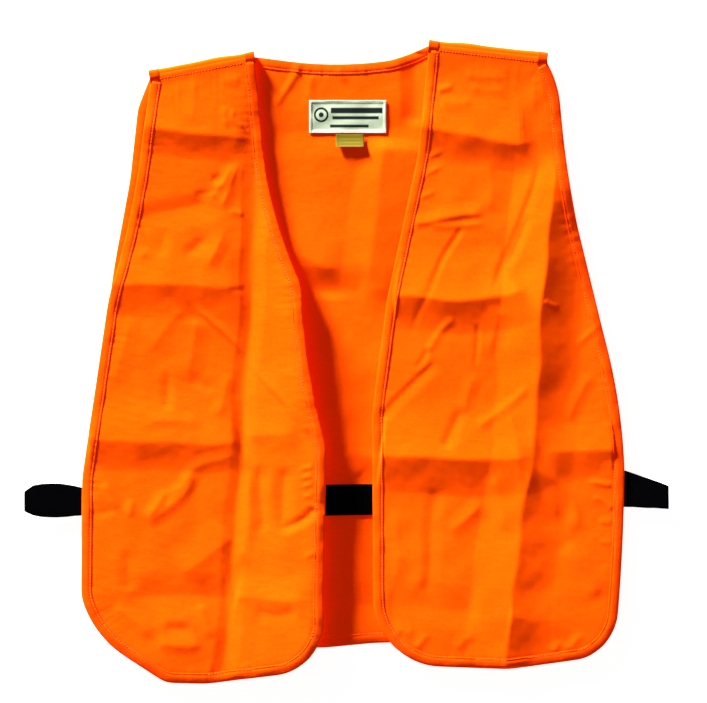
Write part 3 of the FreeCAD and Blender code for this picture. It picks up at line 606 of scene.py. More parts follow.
RIGHT_PLANES = [slope([(179, 40), (177, 142), (176, 224), (172, 296), (167, 340), (165, 389), (161, 440),
                       (156, 490), (152, 550), (146, 636)],
                      [0.12, 0.22, 0.23, 0.22, 0.19, 0.14, 0.12, 0.12, 0.12],
                      reach=84, hand=-1, fade=(60, 4))]
back_height = panel_height("back_panel", BACK_FOLDS, [], seed=11, base=3.2, droop=0.6, low=0.9, high=7.8,
                           level=HINGE_LEVEL - FOLD_RADIUS)
OVER_BACK = dict(droop=1.2, low=9.3, high=22.6, level=HINGE_LEVEL + FOLD_RADIUS)
HEIGHT = {
    "back_panel": back_height,
    "right_front_panel": panel_height("right_front_panel", RIGHT_FOLDS, RIGHT_PLANES, 23, 11.6, **OVER_BACK),
    "left_front_panel": panel_height("left_front_panel", LEFT_FOLDS, [], 37, 10.8, **OVER_BACK),
}

# %% [markdown]
# ## Shader maths in Python
# A node graph is easier to read as an expression. The small class below wraps a socket, and its
# operators add the Math nodes. Any other node comes from one method, which takes the node's type,
# its settings and its inputs.

# %% A socket that can be reckoned with


class Value:
    """A number that varies over the surface. Its operators add Math nodes to its tree."""

    def __init__(self, tree, socket):
        self.tree = tree
        self.socket = socket

    def maths(self, operation, *others):
        return add_node(self.tree, "ShaderNodeMath", {"operation": operation},
                    {k: item for k, item in enumerate((self, *others))})

    def __add__(self, other):
        return self.maths("ADD", other)

    def __mul__(self, other):
        return self.maths("MULTIPLY", other)

    def __sub__(self, other):
        return self.maths("SUBTRACT", other)

    def __rsub__(self, other):
        return add_node(self.tree, "ShaderNodeMath", {"operation": "SUBTRACT"}, {0: other, 1: self})

    __radd__ = __add__
    __rmul__ = __mul__


def add_node(tree, kind, settings, inputs, output=0):
    """Add a node of that type, set its settings, then join or set its inputs. Returns one output."""
    made = tree.nodes.new(kind)
    for name, value in settings.items():
        setattr(made, name, value)
    for name, value in inputs.items():
        if isinstance(value, Value):
            tree.links.new(value.socket, made.inputs[name])
        else:
            made.inputs[name].default_value = value
    return Value(tree, made.outputs[output])


def finish(name, base, roughness, height=None, distance=0.0001, strength=0.5, **constants):
    """A Principled material. base and roughness are plain values or functions of (tree, flat, place), and so
    is height, which makes the bump; the constants are the other sockets."""
    material = bpy.data.materials.new(name)
    material.use_nodes = True
    tree = material.node_tree
    shader = tree.nodes["Principled BSDF"]
    flat = add_node(tree, "ShaderNodeUVMap", {"uv_map": "flat"}, {})
    place = add_node(tree, "ShaderNodeTexCoord", {}, {}, "Object")
    for socket, value in (("Base Color", base), ("Roughness", roughness)):
        made = value(tree, flat, place) if callable(value) else value
        if isinstance(made, Value):
            tree.links.new(made.socket, shader.inputs[socket])
        else:
            shader.inputs[socket].default_value = made
    if height is not None:
        bump = add_node(tree, "ShaderNodeBump", {}, {"Strength": strength, "Distance": distance,
                                                 "Height": height(tree, flat, place)})
        tree.links.new(bump.socket, shader.inputs["Normal"])
    for socket, value in constants.items():
        shader.inputs[socket.replace("_", " ")].default_value = value
    return material


# %% [markdown]
# ## Blaze orange cloth
# The cloth is a light plain weave. Seen close, each thread goes over and under its neighbours, so
# its height is the product of two waves, with a faint crumple added. Seen from afar only a slight
# unevenness of the dye is left.
# The dye is fluorescent: it takes in light that we can't see and gives it back as orange red. A
# small constant glow stands for that. It is painted light, the same in sun and in shade, and it keeps
# the shaded folds red where they would be brown.

# %% Weaves


def mixed(tree, factor, first, second):
    """A colour between two, by a factor."""
    return add_node(tree, "ShaderNodeMix", {"data_type": "RGBA"},
                {"Factor": factor, 6: first, 7: second}, 2)


def two_axes(tree, vector):
    """The first two parts of a vector, each as a value."""
    parts = tree.nodes.new("ShaderNodeSeparateXYZ")
    tree.links.new(vector.socket, parts.inputs[0])
    return Value(tree, parts.outputs[0]), Value(tree, parts.outputs[1])


def noise(tree, vector, scale, detail=2.0):
    """Smooth noise, 0 to 1."""
    inputs = {"Vector": vector, "Scale": scale, "Detail": detail}
    return add_node(tree, "ShaderNodeTexNoise", {}, inputs, "Fac")


def stretched(tree, vector, scale, turn=0.0):
    """The vector scaled on each axis, and turned about Z."""
    inputs = {"Vector": vector, "Scale": scale, "Rotation": (0, 0, turn)}
    return add_node(tree, "ShaderNodeMapping", {}, inputs)


def weave_height(pitch, turn=0.0):
    """Plain weave: sin(x) * sin(y), one bump for each crossing, with uneven threads and a faint crumple."""

    def height(tree, flat, place):
        turned = stretched(tree, flat, (1, 1, 1), turn)
        number = math.pi / pitch
        x, y = (axis * number for axis in two_axes(tree, turned))
        crossing = x.maths("SINE") * y.maths("SINE")
        along = noise(tree, stretched(tree, turned, (90, 1600, 1)), 1.0)
        across = noise(tree, stretched(tree, turned, (1600, 90, 1)), 1.0)
        crumple = noise(tree, stretched(tree, turned, (240, 300, 1)), 1.0, 4.0)
        return crossing * 0.5 + along * 0.5 + across * 0.5 + crumple * 1.5

    return height


def dyed(main, other, finer=0.0):
    """The dye's unevenness: a slow cloudiness, a faint streak along the threads and a fine mottling."""

    def colour(tree, flat, place):
        cloud = noise(tree, stretched(tree, place, (9, 9, 9)), 1.0, 3.0)
        streak = noise(tree, stretched(tree, flat, (40 + finer, 900, 1)), 1.0)
        mottle = noise(tree, stretched(tree, flat, (330, 260, 1)), 1.0, 3.0)
        return mixed(tree, cloud * 1.0 + streak * 0.9 + mottle * 0.9 - 0.9, main, other)

    return colour


def worn_roughness(low, high, scale=30.0):
    """Roughness that drifts between two values."""

    def roughness(tree, flat, place):
        return noise(tree, stretched(tree, place, (scale, scale, scale)), 1.0) * (high - low) + low

    return roughness


# A constant orange-red glow for cloth, binding and thread: painted light that keeps the shaded folds red; no
# specular shine.
BLAZE_AND_PAINTED_GLOW = dict(Emission_Color=(1.0, 0.02, 0.0, 1.0), Emission_Strength=0.26, Specular_IOR_Level=0.0)
orange_cloth = finish("orange_cloth", dyed((0.95, 0.107, 0.0016, 1), (0.92, 0.070, 0.0004, 1)),
                      worn_roughness(0.62, 0.82), weave_height(0.55 * MM), 0.00012, 0.35, **BLAZE_AND_PAINTED_GLOW)
orange_binding = finish("orange_binding", dyed((0.94, 0.080, 0.0012, 1), (0.89, 0.050, 0.0003, 1), 7.0),
                        worn_roughness(0.6, 0.8), weave_height(0.55 * MM, 0.6), 0.00014, 0.4, **BLAZE_AND_PAINTED_GLOW)

# %% [markdown]
# ## Thread, elastic, label and tag
# Sewing thread is two strands twisted together, which shows as fine slanting lines. The elastic is
# knitted: ribs run along it, and cross threads make them bead. The neck label is pale woven satin
# with plain dark marks, a ring and bars, and no words. The care tag is thin olive tape.

# %% Finishes of the small pieces


def twist_height(tree, flat, place):
    """Slanting strands: a wave along the thread that is turned by half a strand across it."""
    turned = stretched(tree, place, (1, 1, 1), 0.7)
    return add_node(tree, "ShaderNodeTexWave", {"wave_type": "BANDS"}, {"Vector": turned, "Scale": 900.0})


def rib_height(tree, flat, place):
    """Ribs along the elastic with beads on them: a wave across, times a finer wave along."""
    along, across = two_axes(tree, flat)
    rib = (across * (math.pi / (1.0 * MM))).maths("SINE").maths("ABSOLUTE")
    bead = (along * (math.pi / (0.6 * MM))).maths("SINE").maths("ABSOLUTE")
    return rib * 0.8 + bead * 0.3


thread = finish("orange_thread", dyed((0.98, 0.17, 0.035, 1), (0.96, 0.13, 0.02, 1)), 0.6, twist_height,
                0.0001, 0.4, **BLAZE_AND_PAINTED_GLOW)
elastic = finish("black_elastic", dyed((0.0007, 0.0007, 0.0010, 1), (0.0016, 0.0016, 0.0021, 1)),
                 worn_roughness(0.7, 0.9), rib_height, 0.0003, 0.6, Specular_IOR_Level=0.0)
black_thread = finish("black_thread", dyed((0.0015, 0.0015, 0.002, 1), (0.003, 0.003, 0.0036, 1)), 0.7,
                      twist_height, 0.0001, 0.4, Specular_IOR_Level=0.02)

# %% [markdown]
# ## The three panels
# Each panel is a Coons patch laid over its height function. The corners are found by direction: the
# two ends of the shoulder, and the middle of each rounded hem corner.

# %% Lay the panels

ROWS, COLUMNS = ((330, 128))


def front_plan(node, outer):
    """The plan grid of a front. outer is the side its armhole is on: -1 for the right, 1 for the left."""
    outline = OUTLINES[node]
    top_left, top_right = ((-0.6, 0.8), (0.4, 0.9)) if outer < 0 else ((-0.4, 0.9), (0.6, 0.8))
    hem_left, hem_right = (-0.7, -0.7), (0.7, -0.7)
    top = side_between(outline, top_right, top_left, COLUMNS)[::-1]
    left = side_between(outline, top_left, hem_left, ROWS)
    bottom = side_between(outline, hem_left, hem_right, COLUMNS)
    right = side_between(outline, hem_right, top_right, ROWS)[::-1]
    return coons(top, bottom, left, right)


def back_plan():
    """The plan grid of the back; its top side is both shoulders and the neck between them."""
    outline = OUTLINES["back_panel"]
    rows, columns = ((236, 196))
    top = side_between(outline, (0.6, 0.8), (-0.6, 0.8), columns, 2 * MM)[::-1]
    left = side_between(outline, (-0.6, 0.8), (-0.7, -0.7), rows)
    bottom = side_between(outline, (-0.7, -0.7), (0.7, -0.7), columns)
    right = side_between(outline, (0.7, -0.7), (0.6, 0.8), rows)[::-1]
    return coons(top, bottom, left, right)


PLANS = {"back_panel": back_plan(), "right_front_panel": front_plan("right_front_panel", -1),
         "left_front_panel": front_plan("left_front_panel", 1)}
PANELS = {}
for name in PLANS:
    body = name.replace("_panel", "")
    flat = PLANS[name].reshape(-1, 2)
    cloth = closed_sheet(f"{body}_cloth", PLANS[name], HEIGHT[name](flat[:, 0], flat[:, 1]), CLOTH, flat,
                         [orange_cloth])
    PANELS[name] = stand_in(cloth, body, "orange_cloth", name)
    zs = [c[2] for c in cloth.bound_box]
    print(cloth.name, len(cloth.data.polygons), "faces, from", round(min(zs) / MM, 1), "to",
          round(max(zs) / MM, 1), "mm up")

# %% [markdown]
# ## Bound edges
# A binding is a strip of cloth folded over the raw edge and sewn through all layers. In section it
# is a flattened loop: round at the outside, plump between edge and stitching, and drawn in where the
# thread holds it. That section is carried along the panel's outline and follows the cloth's height.

# %% Carry a section along an edge

BINDING_SECTION = np.array([
    (-9.3, 0.25), (-9.1, 0.95), (-8.5, 1.1), (-7.8, 0.7), (-7.1, 1.0), (-5.8, 1.4), (-4.2, 1.45),
    (-2.4, 1.25), (-0.6, 0.95), (0.8, 0.5), (1.4, -0.05), (0.8, -0.66), (-0.8, -0.95), (-3.5, -1.0),
    (-6.4, -0.85), (-8.6, -0.6), (-9.3, -0.35),
])


def outward(path, middle):
    """Unit normals of a plan path, pointing away from the panel's middle."""
    tangent = np.gradient(path, axis=0)
    tangent /= np.linalg.norm(tangent, axis=1)[:, None]
    normal = np.column_stack([tangent[:, 1], -tangent[:, 0]])
    return -normal if ((path - middle) * normal).sum() < 0 else normal


def carried(name, path, normal, section, height, materials, swell=0.0, seed=0):
    """A closed section (across, up) in millimetres, carried along a plan path at the cloth's height.
    swell lets its plumpness drift along the edge."""
    n, k = len(path), len(section)
    run = run_along(path)
    plump = 1 + swell * ripples(run / MM, 0 * run, 38.0, seed, waves=7)
    plan = path[:, None] + normal[:, None] * section[None, :, :1] * MM
    ground = height(plan[..., 0].ravel(), plan[..., 1].ravel()).reshape(n, k)
    z = ground + section[None, :, 1] * MM * plump[:, None]
    points = np.dstack([plan, z]).reshape(-1, 3)
    tangent = path[1] - path[0]
    faces = tube_faces(n, k, tangent[0] * normal[0, 1] - tangent[1] * normal[0, 0] > 0)
    flat = np.column_stack([np.repeat(run, k), np.tile(section[:, 0] * MM, n)])
    return new_piece(name, points, faces, flat, materials)


def capsule(length, width, height, around=6):
    """One stitch: a bead that is longest along x, as points (k, 3) and quads."""
    along = np.array([-0.5, -0.42, -0.2, 0.2, 0.42, 0.5])
    girth = np.array([0.05, 0.62, 1.0, 1.0, 0.62, 0.05])
    angle = np.arange(around) * 2 * np.pi / around
    points = np.stack(np.broadcast_arrays(
        along[:, None] * length, girth[:, None] * np.cos(angle) * width / 2,
        girth[:, None] * np.sin(angle) * height / 2), axis=-1).reshape(-1, 3)
    return points, grid_faces(len(along), around, wrap_columns=True)


def stitches(name, path, normal, offset, height, lift, material, pitch=3.2 * MM, size=(2.5, 0.75, 0.55)):
    """A row of stitches at an offset from a plan path, each turned along it and lying on the cloth. size is
    one stitch's length, width and height in millimetres. Returns the row and how many stitches it has."""
    line = path + normal * offset
    count = max(int(run_along(line)[-1] / pitch), 2)
    centres = respaced(line, count + 1)
    middle = (centres[:-1] + centres[1:]) / 2
    z = height(middle[:, 0], middle[:, 1]) + lift
    ends = height(centres[:, 0], centres[:, 1])
    along = np.column_stack([np.diff(centres, axis=0), np.diff(ends)])
    along /= np.linalg.norm(along, axis=1)[:, None]
    across = np.cross((0, 0, 1), along)
    across /= np.linalg.norm(across, axis=1)[:, None]
    up = np.cross(along, across)
    bead, quads = capsule(*(s * MM for s in size))
    turned = (bead[None, :, 0, None] * along[:, None] + bead[None, :, 1, None] * across[:, None]
              + bead[None, :, 2, None] * up[:, None])
    points = (turned + np.column_stack([middle, z])[:, None]).reshape(-1, 3)
    faces = (quads[None] + (np.arange(count) * len(bead))[:, None, None]).reshape(-1, 4)
    flat = np.tile(bead[:, :2], (count, 1))
    return new_piece(name, points, [faces], flat, [material]), count


# %% Bind the edges and sew them


def front_edge_path(node, outer):
    """The bound edge of a front, from the neck end of its shoulder round the hem to the armhole end."""
    plan = PLANS[node]
    left, bottom, right = plan[:, 0], plan[-1], plan[:, -1]
    if outer < 0:
        whole = np.vstack([right[:-1], bottom[::-1][:-1], left[::-1]])
    else:
        whole = np.vstack([left[:-1], bottom[:-1], right[::-1]])
    return respaced(whole, 560)


def back_edge_path():
    """The bound edge of the back, from one shoulder's armhole end round the hem to the other."""
    plan = PLANS["back_panel"]
    return respaced(np.vstack([plan[:-1, 0], plan[-1, :-1], plan[::-1, -1]]), 640)


def neck_path():
    """The bound edge of the back's neck, between the neck ends of the two shoulder folds."""
    low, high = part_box("back_neck_binding")
    top = PLANS["back_panel"][0]
    inside = (top[:, 0] > low.x - 1 * MM) & (top[:, 0] < high.x + 1 * MM)
    return respaced(top[inside], 110)


EDGES = {
    "right_front_binding": (front_edge_path("right_front_panel", -1), "right_front_panel", "right_front"),
    "left_front_binding": (front_edge_path("left_front_panel", 1), "left_front_panel", "left_front"),
    "back_edge_binding": (back_edge_path(), "back_panel", "back"),
    "back_neck_binding": (neck_path(), "back_panel", "back"),
}
for k, (name, (path, panel, body)) in enumerate(EDGES.items()):
    low, high = BOX[panel]
    middle = np.array([(low.x + high.x) / 2, (low.y + high.y) / 2])
    normal = outward(path, middle)
    band = carried(name.replace("_binding", "_bound_edge"), path, normal, BINDING_SECTION, HEIGHT[panel],
                   [orange_binding], swell=0.22, seed=60 + k)
    stand_in(band, body, "orange_binding", name)
    sewing = name.replace("_binding", "_stitching")
    row, count = stitches(sewing.replace("_stitching", "_stitches"), path, normal, -7.8 * MM, HEIGHT[panel],
                          0.78 * MM, thread)
    stand_in(row, body, "orange_thread", sewing)
    print(band.name, len(band.data.polygons), "faces,", count, "stitches")

# %% [markdown]
# ## Shoulders
# The back turns forward over each shoulder and is sewn to the front a little way down. The fold is
# a half round of cloth about the hinge line. The band of each bound edge goes over the fold too, as a
# short wrap that ends a little below the top of the band.

# %% Folds over the shoulders


def turned_section(radius, thickness, tail_back, tail_front, bulge=1.12, sink=0.0):
    """The fold in section, as (out, up) points of a closed strip: straight under the back, round the hinge
    line, and over the front, where its end lies lower by sink. The round is flat above and below and turns at
    the outside."""
    angle = np.linspace(-np.pi / 2, np.pi / 2, 24)
    out, up = np.cos(angle) ** 0.55, np.sign(np.sin(angle)) * np.abs(np.sin(angle)) ** 0.75

    def layer(r):
        arc = np.column_stack([bulge * r * out, r * up])
        return np.vstack([[(-tail_back, -r)], arc, [(-tail_front, r - sink)]])

    return np.vstack([layer(radius + thickness / 2), layer(radius - thickness / 2)[::-1]])


def over_shoulder(name, front, along_from, along_to, section, materials, count):
    """A section carried along the shoulder line between two distances from its neck end. What lies outside
    the hinge line wavers a little."""
    start, axis, out, _ = SHOULDERS[front]
    s = np.linspace(along_from, along_to, count)
    k = len(section)
    wave = 1 + 0.10 * ripples(s / MM, 0 * s, 46.0, 90, waves=7)
    reach = section[None, :, 0] * np.where(section[None, :, 0] > 0, wave[:, None], 1.0)
    points = start[None, None] + axis[None, None] * s[:, None, None] + out[None, None] * reach[..., None] * MM
    points[..., 2] += section[None, :, 1] * MM
    faces = tube_faces(count, k, axis[0] * out[1] - axis[1] * out[0] < 0)
    flat = np.column_stack([np.repeat(s, k), np.tile(run_along(section) * MM, count)])
    return new_piece(name, points.reshape(-1, 3), faces, flat, materials)


# 5 mm below and above the start of the hinge line; the loop below works these points out and leaves them
# unused
BLEND_REACH = np.array([0, 0, 5.0 * MM])
for side in SIDES:
    front = f"{side}_front"
    start, _, _, length = SHOULDERS[front]
    fold = over_shoulder(f"{side}_shoulder_turn", front, 0.0, length - 1 * MM,
                         turned_section(FOLD_RADIUS, 0.55, 1.5, 3.0), [orange_cloth], 80)
    pieces = [fold]
    for end, near, far in (("neck", -1.0 * MM, 9.3 * MM), ("armhole", length - 10.3 * MM, length - 0.2 * MM)):
        wrap = turned_section(FOLD_RADIUS + 0.7, 0.7, 1.5, 7.4, bulge=0.99, sink=0.4)
        pieces.append(over_shoulder(f"{side}_{end}_wrap", front, near, far, wrap, [orange_binding], 14))
    for piece in pieces:
        tuple(start - BLEND_REACH)
        tuple(start + BLEND_REACH)
        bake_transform(piece)
    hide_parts(f"{side}_shoulder_fold")
    print(fold.name, "is", round(length / MM, 1), "mm long")

# %% [markdown]
# ## Shoulder seams
# The seam is where the turned edge of the back is sewn down on the front. It shows as a narrow
# raised strip with a ditch along its lower side, where the thread pulls it in.

# %% Seam strips and their stitching

SEAM_SECTION = np.array([(1.2, 0.0), (0.4, 0.36), (-1.6, 0.5), (-3.8, 0.52), (-4.9, 0.4), (-5.5, -0.1),
                         (-4.6, -0.5), (-1.5, -0.6), (0.6, -0.4)])


def seam_height(front):
    """The seam lies level with the top of the fold at the hinge line, then follows the front's cloth."""

    def height(x, y):
        top = SHOULDERS[front][0][2] + FOLD_RADIUS * MM
        share = eased(behind(front, x, y) / 6.0)
        return (1 - share) * top + share * HEIGHT[f"{front}_panel"](x, y)

    return height


for side in SIDES:
    front = f"{side}_front"
    start, axis, out, length = SHOULDERS[front]
    s = np.linspace(0, length - 1 * MM, 70)
    path = start[None, :2] + axis[None, :2] * s[:, None]
    normal = np.tile(out[None, :2], (len(path), 1))
    strip = carried(f"{side}_shoulder_strip", path, normal, SEAM_SECTION, seam_height(front), [orange_cloth],
                    swell=0.2, seed=70)
    stand_in(strip, front, "orange_cloth", f"{side}_shoulder_seam")
    row, count = stitches(f"{side}_shoulder_stitches", path, normal, -4.6 * MM, seam_height(front), 0.5 * MM,
                          thread, size=(2.4, 0.6, 0.5))
    stand_in(row, front, "orange_thread", f"{side}_shoulder_stitching")
    print(strip.name, count, "stitches")

# %% [markdown]
# ## Elastic
# The elastic is a strap of knitted rubber. Across the back it lies flat on the cloth, and at each
# side it leaves the back, goes out, turns and comes back to the front. A loop is made as two legs
# that meet at its turn.

# %% The strap across the back and the side loops

STRAP_HALF = 16 * MM
STRAP_SECTION = np.array([(-1.0, 0.0), (-0.985, 0.4), (-0.9, 0.55), (-0.4, 0.6), (0.4, 0.6), (0.9, 0.55),
                          (0.985, 0.4), (1.0, 0.0), (0.985, -0.4), (0.9, -0.55), (0.4, -0.6), (-0.4, -0.6),
                          (-0.9, -0.55), (-0.985, -0.4)])


def strap(name, centre, half, up):
    """A flat strap: centre (n, 3) is its line, half reaches from it to one edge, and up is its face's way."""
    section, n, k = STRAP_SECTION, len(centre), len(STRAP_SECTION)
    points = centre[:, None] + half[:, None] * section[None, :, :1] + up[:, None] * section[None, :, 1:] * MM
    flat = np.column_stack([np.repeat(run_along(centre), k), np.tile(section[:, 0] * STRAP_HALF, n)])
    faces = tube_faces(n, k, np.dot(np.cross(half[0], up[0]), centre[1] - centre[0]) > 0)
    return new_piece(name, points.reshape(-1, 3), faces, flat, [elastic])


STRAP_POINTS = 170
low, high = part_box("back_elastic")
across = np.linspace(low.x, high.x, STRAP_POINTS)
tilt = math.radians(0.8)
line_y = (low.y + high.y) / 2 + (across - (low.x + high.x) / 2) * math.tan(tilt)
line_z = back_height(across, line_y) + 0.9 * MM
line_z = np.convolve(np.pad(line_z, 8, mode="edge"), np.ones(17) / 17, "valid") + 0.5 * MM
to_edge = (-math.sin(tilt) * STRAP_HALF, math.cos(tilt) * STRAP_HALF, 0)
back_strap = strap("back_strap", np.column_stack([across, line_y, line_z]),
                   np.tile([to_edge], (STRAP_POINTS, 1)), np.tile([(0.0, 0.0, 1.0)], (STRAP_POINTS, 1)))
stand_in(back_strap, "back", "black_elastic", "back_elastic")

# %% The loops

# the heights of the loop's two ends and its sag, in millimetres
LOOP_LEVELS, LOOP_SAG = (4.9, 7.9), 0.6
TURN_RADIUS, LEG_POINTS = 2.2 * MM, 70


def side_loop(side, top_edge, bottom_edge):
    """The loop of one side, as a lower and an upper leg. top_edge and bottom_edge say how far up the strap's
    two edges lie, in millimetres from the middle of its solid, at equal shares of the way out."""
    low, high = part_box(f"{side}_side_elastic")
    tack_low, tack_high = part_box(f"{side}_elastic_tack")
    inner, outer = (high.x, low.x) if side == "right" else (low.x, high.x)
    turn = math.copysign(TURN_RADIUS, outer)
    out_leg = np.linspace(inner, outer - turn, LEG_POINTS)
    angle = np.linspace(-np.pi / 2, np.pi / 2, 24)[1:-1]
    bend = (outer - turn) + turn * np.cos(angle)
    back_leg = np.linspace(outer - turn, (tack_low.x + tack_high.x) / 2, LEG_POINTS)
    x = np.concatenate([out_leg, bend, back_leg])
    leg = np.concatenate([np.zeros(LEG_POINTS), (np.sin(angle) + 1) / 2, np.ones(LEG_POINTS)])
    share = np.clip((x - inner) / (outer - inner), 0, 1)
    base, rise = LOOP_LEVELS
    z = base + (rise - base) * (0.30 * share * (1 - leg) + leg * (1 - 0.30 * share))
    z = z - LOOP_SAG * np.sin(np.pi * share) * np.where(leg > 0.5, 1.0, 0.15)
    middle = (low.y + high.y) / 2
    up_edge, down_edge = (middle + along_line(edge, share, 1.0) * MM for edge in (top_edge, bottom_edge))
    centre = np.column_stack([x, (up_edge + down_edge) / 2, z * MM])
    half = np.column_stack([0 * x, (up_edge - down_edge) / 2, 0 * x])
    forward = np.gradient(centre, axis=0)
    up = np.cross(forward, half)
    up /= np.linalg.norm(up, axis=1)[:, None]
    cut = len(x) // 2
    near, beyond = (inner, middle, 0), (2 * outer - inner, middle, 0)
    legs = (("lower", slice(0, cut + 1), near, beyond), ("upper", slice(cut, None), beyond, near))
    for name, part, start, end in legs:
        piece = strap(f"{side}_loop_{name}", centre[part], half[part], up[part])
        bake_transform(piece)
        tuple(start)
        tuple(end)
    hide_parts(f"{side}_side_elastic")
    print(f"{side} loop is", round(run_along(centre)[-1] / MM), "mm long, slack")


side_loop("right", (15.5, 15.5, 15.5, 16.5, 18.5, 20.0, 21.0, 21.0, 20.5, 19.0, 13.0),
          (-15.5, -15.0, -13.0, -12.0, -12.5, -13.5, -14.0, -14.0, -13.5, -12.0, -8.0))
side_loop("left", (17.0, 22.0, 26.0, 27.5, 26.0, 23.5, 21.0, 18.5, 16.0, 13.5, 10.5),
          (-15.5, -13.0, -12.0, -11.0, -11.5, -11.5, -12.0, -12.5, -12.5, -13.0, -13.5))

# %% Bar tacks


def bar_tack(name, body, x, y_from, y_to, level, *nodes):
    """A short thick row of thread that holds the elastic: stitches laid side by side between two points."""
    line = respaced(np.array([(x, y_from), (x, y_to)]), 40)
    piece, _ = stitches(name, line, np.zeros(2), 0.0, lambda px, py: np.full(px.shape, level), 0.3 * MM,
                        black_thread, pitch=0.9 * MM, size=(0.8, 2.6, 0.7))
    return stand_in(piece, body, "black_thread", *nodes)


low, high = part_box("back_elastic_tacks")
tack_x = {"right": low.x + 1.5 * MM, "left": high.x - 1.5 * MM}
for side, x in tack_x.items():
    y, level = (float(np.interp(x, across, line)) for line in (line_y, line_z))
    nodes = ["back_elastic_tacks"] if side == "right" else []
    bar_tack(f"{side}_back_tack", "back", x, y - 14 * MM, y + 14 * MM, level + 0.7 * MM, *nodes)
    low_t, high_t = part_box(f"{side}_elastic_tack")
    bar_tack(f"{side}_front_tack", f"{side}_front", (low_t.x + high_t.x) / 2, low_t.y, high_t.y,
             (LOOP_LEVELS[1] + 0.5) * MM, f"{side}_elastic_tack")
print("bar tacks at", {k: round(v, 3) for k, v in tack_x.items()})

# %% [markdown]
# ## Neck label and care tag
# The label is a patch of pale satin with a folded hem, sewn down all round. The care tag is a short
# length of thin tape that hangs from under the label and curls up a little.

# %% Label finishes


def band(value, middle, half, soft):
    """1 where value is within half of middle, with a soft edge."""
    away = (value - middle).maths("ABSOLUTE")
    inputs = {"Value": away, "From Min": half - soft, "From Max": half + soft, "To Min": 1.0, "To Max": 0.0}
    return add_node(value.tree, "ShaderNodeMapRange", {"interpolation_type": "SMOOTHSTEP"}, inputs)


def label_colour(tree, flat, place):
    """Pale satin with a dark ring on the left and three plain bars on the right; flat runs 0 to 1."""
    x, y = two_axes(tree, flat)
    across, up = x - 0.155, (y - 0.56) * 0.42
    far = (across * across + up * up).maths("SQRT")
    ring = band(far, 0.082, 0.013, 0.004)
    dot = band(far, 0.0, 0.032, 0.006)
    bars = [band(x, 0.615, 0.335, 0.006) * band(y, 0.69, 0.085, 0.02),
            band(x, 0.60, 0.30, 0.006) * band(y, 0.47, 0.05, 0.02),
            band(x, 0.52, 0.25, 0.006) * band(y, 0.22, 0.045, 0.02)]
    marks = (ring + dot + bars[0] + bars[1] + bars[2]).maths("MINIMUM", 1.0)
    cloud = noise(tree, stretched(tree, flat, (30, 12, 1)), 1.0, 3.0)
    pale = mixed(tree, cloud, (0.47, 0.58, 0.40, 1), (0.59, 0.69, 0.51, 1))
    return mixed(tree, marks, pale, (0.012, 0.016, 0.018, 1))


def tag_colour(tree, flat, place):
    """Olive tape with fine paler rows."""
    x, y = two_axes(tree, flat)
    rows = (y * (2 * math.pi * 3.5)).maths("SINE")
    lines = band(rows, 1.0, 0.55, 0.2) * band(x, 0.5, 0.38, 0.02)
    return mixed(tree, lines * 0.5, (0.125, 0.095, 0.004, 1), (0.20, 0.165, 0.02, 1))


def satin_height(tree, flat, place):
    """Fine cross ribs of a satin tape."""
    return add_node(tree, "ShaderNodeTexWave", {"wave_type": "BANDS", "bands_direction": "Y"},
                {"Vector": place, "Scale": 700.0, "Distortion": 1.5})


label_cloth = finish("label_cloth", label_colour, 0.55, satin_height, 0.0001, 0.35, Specular_IOR_Level=0.05)
label_thread = finish("label_thread", dyed((0.62, 0.72, 0.64, 1), (0.5, 0.6, 0.52, 1)), 0.6, twist_height,
                      0.0001, 0.4, Specular_IOR_Level=0.05)
tag_tape = finish("care_tag", tag_colour, 0.6, satin_height, 0.0001, 0.3, Specular_IOR_Level=0.05)

# %% The label, its stitches and the tag


def four_corners(node):
    """The corners of a four-sided flat node in plan: lower left, lower right, upper right, upper left."""
    outline = outline_of(node)
    ways = ((-1, -1.01), (1, -1.01), (1, 1.01), (-1, 1.01))
    return [outline[(outline @ np.array(way)).argmax()] for way in ways]


def patch(name, corners, rows, columns, height, lift, thickness, material):
    """A four-sided patch of thin cloth between its corners, over a height; flat runs 0 to 1 each way."""
    a, b, c, d = corners
    s, t = np.meshgrid(np.linspace(0, 1, columns), np.linspace(0, 1, rows))
    s, t = s[..., None], t[..., None]
    plan = (1 - t) * ((1 - s) * a + s * b) + t * ((1 - s) * d + s * c)
    share = np.dstack([s, t]).reshape(-1, 2)
    z = height(plan[..., 0].ravel(), plan[..., 1].ravel()) + lift(share[:, 0], share[:, 1])
    return closed_sheet(name, plan, z, thickness, share, [material])


def label_level(x, y):
    """The label lies just above the back's cloth."""
    return back_height(x, y) + 0.9 * MM


TAG_LEVEL = 4.4 * MM
corners = four_corners("neck_label")


def hemmed(s, t):
    """A folded hem all round: the label is a little thicker within 3 mm of its edge, and cockles slightly."""
    edge = np.minimum(np.minimum(s, 1 - s) * 80, np.minimum(t, 1 - t) * 32)
    return 0.35 * MM * (1 - eased((edge - 2.2) / 1.2)) + 0.25 * MM * ripples(s * 80, t * 32, 26, 5)


label = patch("neck_label_patch", corners, 44, 100, label_level, hemmed, 0.5 * MM, label_cloth)
stand_in(label, "back", "label_cloth", "neck_label")

middle = np.mean(corners, axis=0)
inner = np.array([middle + (c - middle) * 0.955 for c in corners])
round_label = respaced(closed(inner), 240)
label_row, count = stitches("neck_label_stitches", round_label, np.zeros(2), 0.0, label_level, 0.6 * MM,
                            label_thread, pitch=2.6 * MM, size=(2.0, 0.5, 0.4))
stand_in(label_row, "back", "label_thread", "neck_label_stitching")

tag_low, tag_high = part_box("care_tag")
tag_corners = [np.array(corner) for corner in ((tag_low.x, tag_low.y), (tag_high.x, tag_low.y),
                                               (tag_high.x, tag_high.y), (tag_low.x, tag_high.y))]


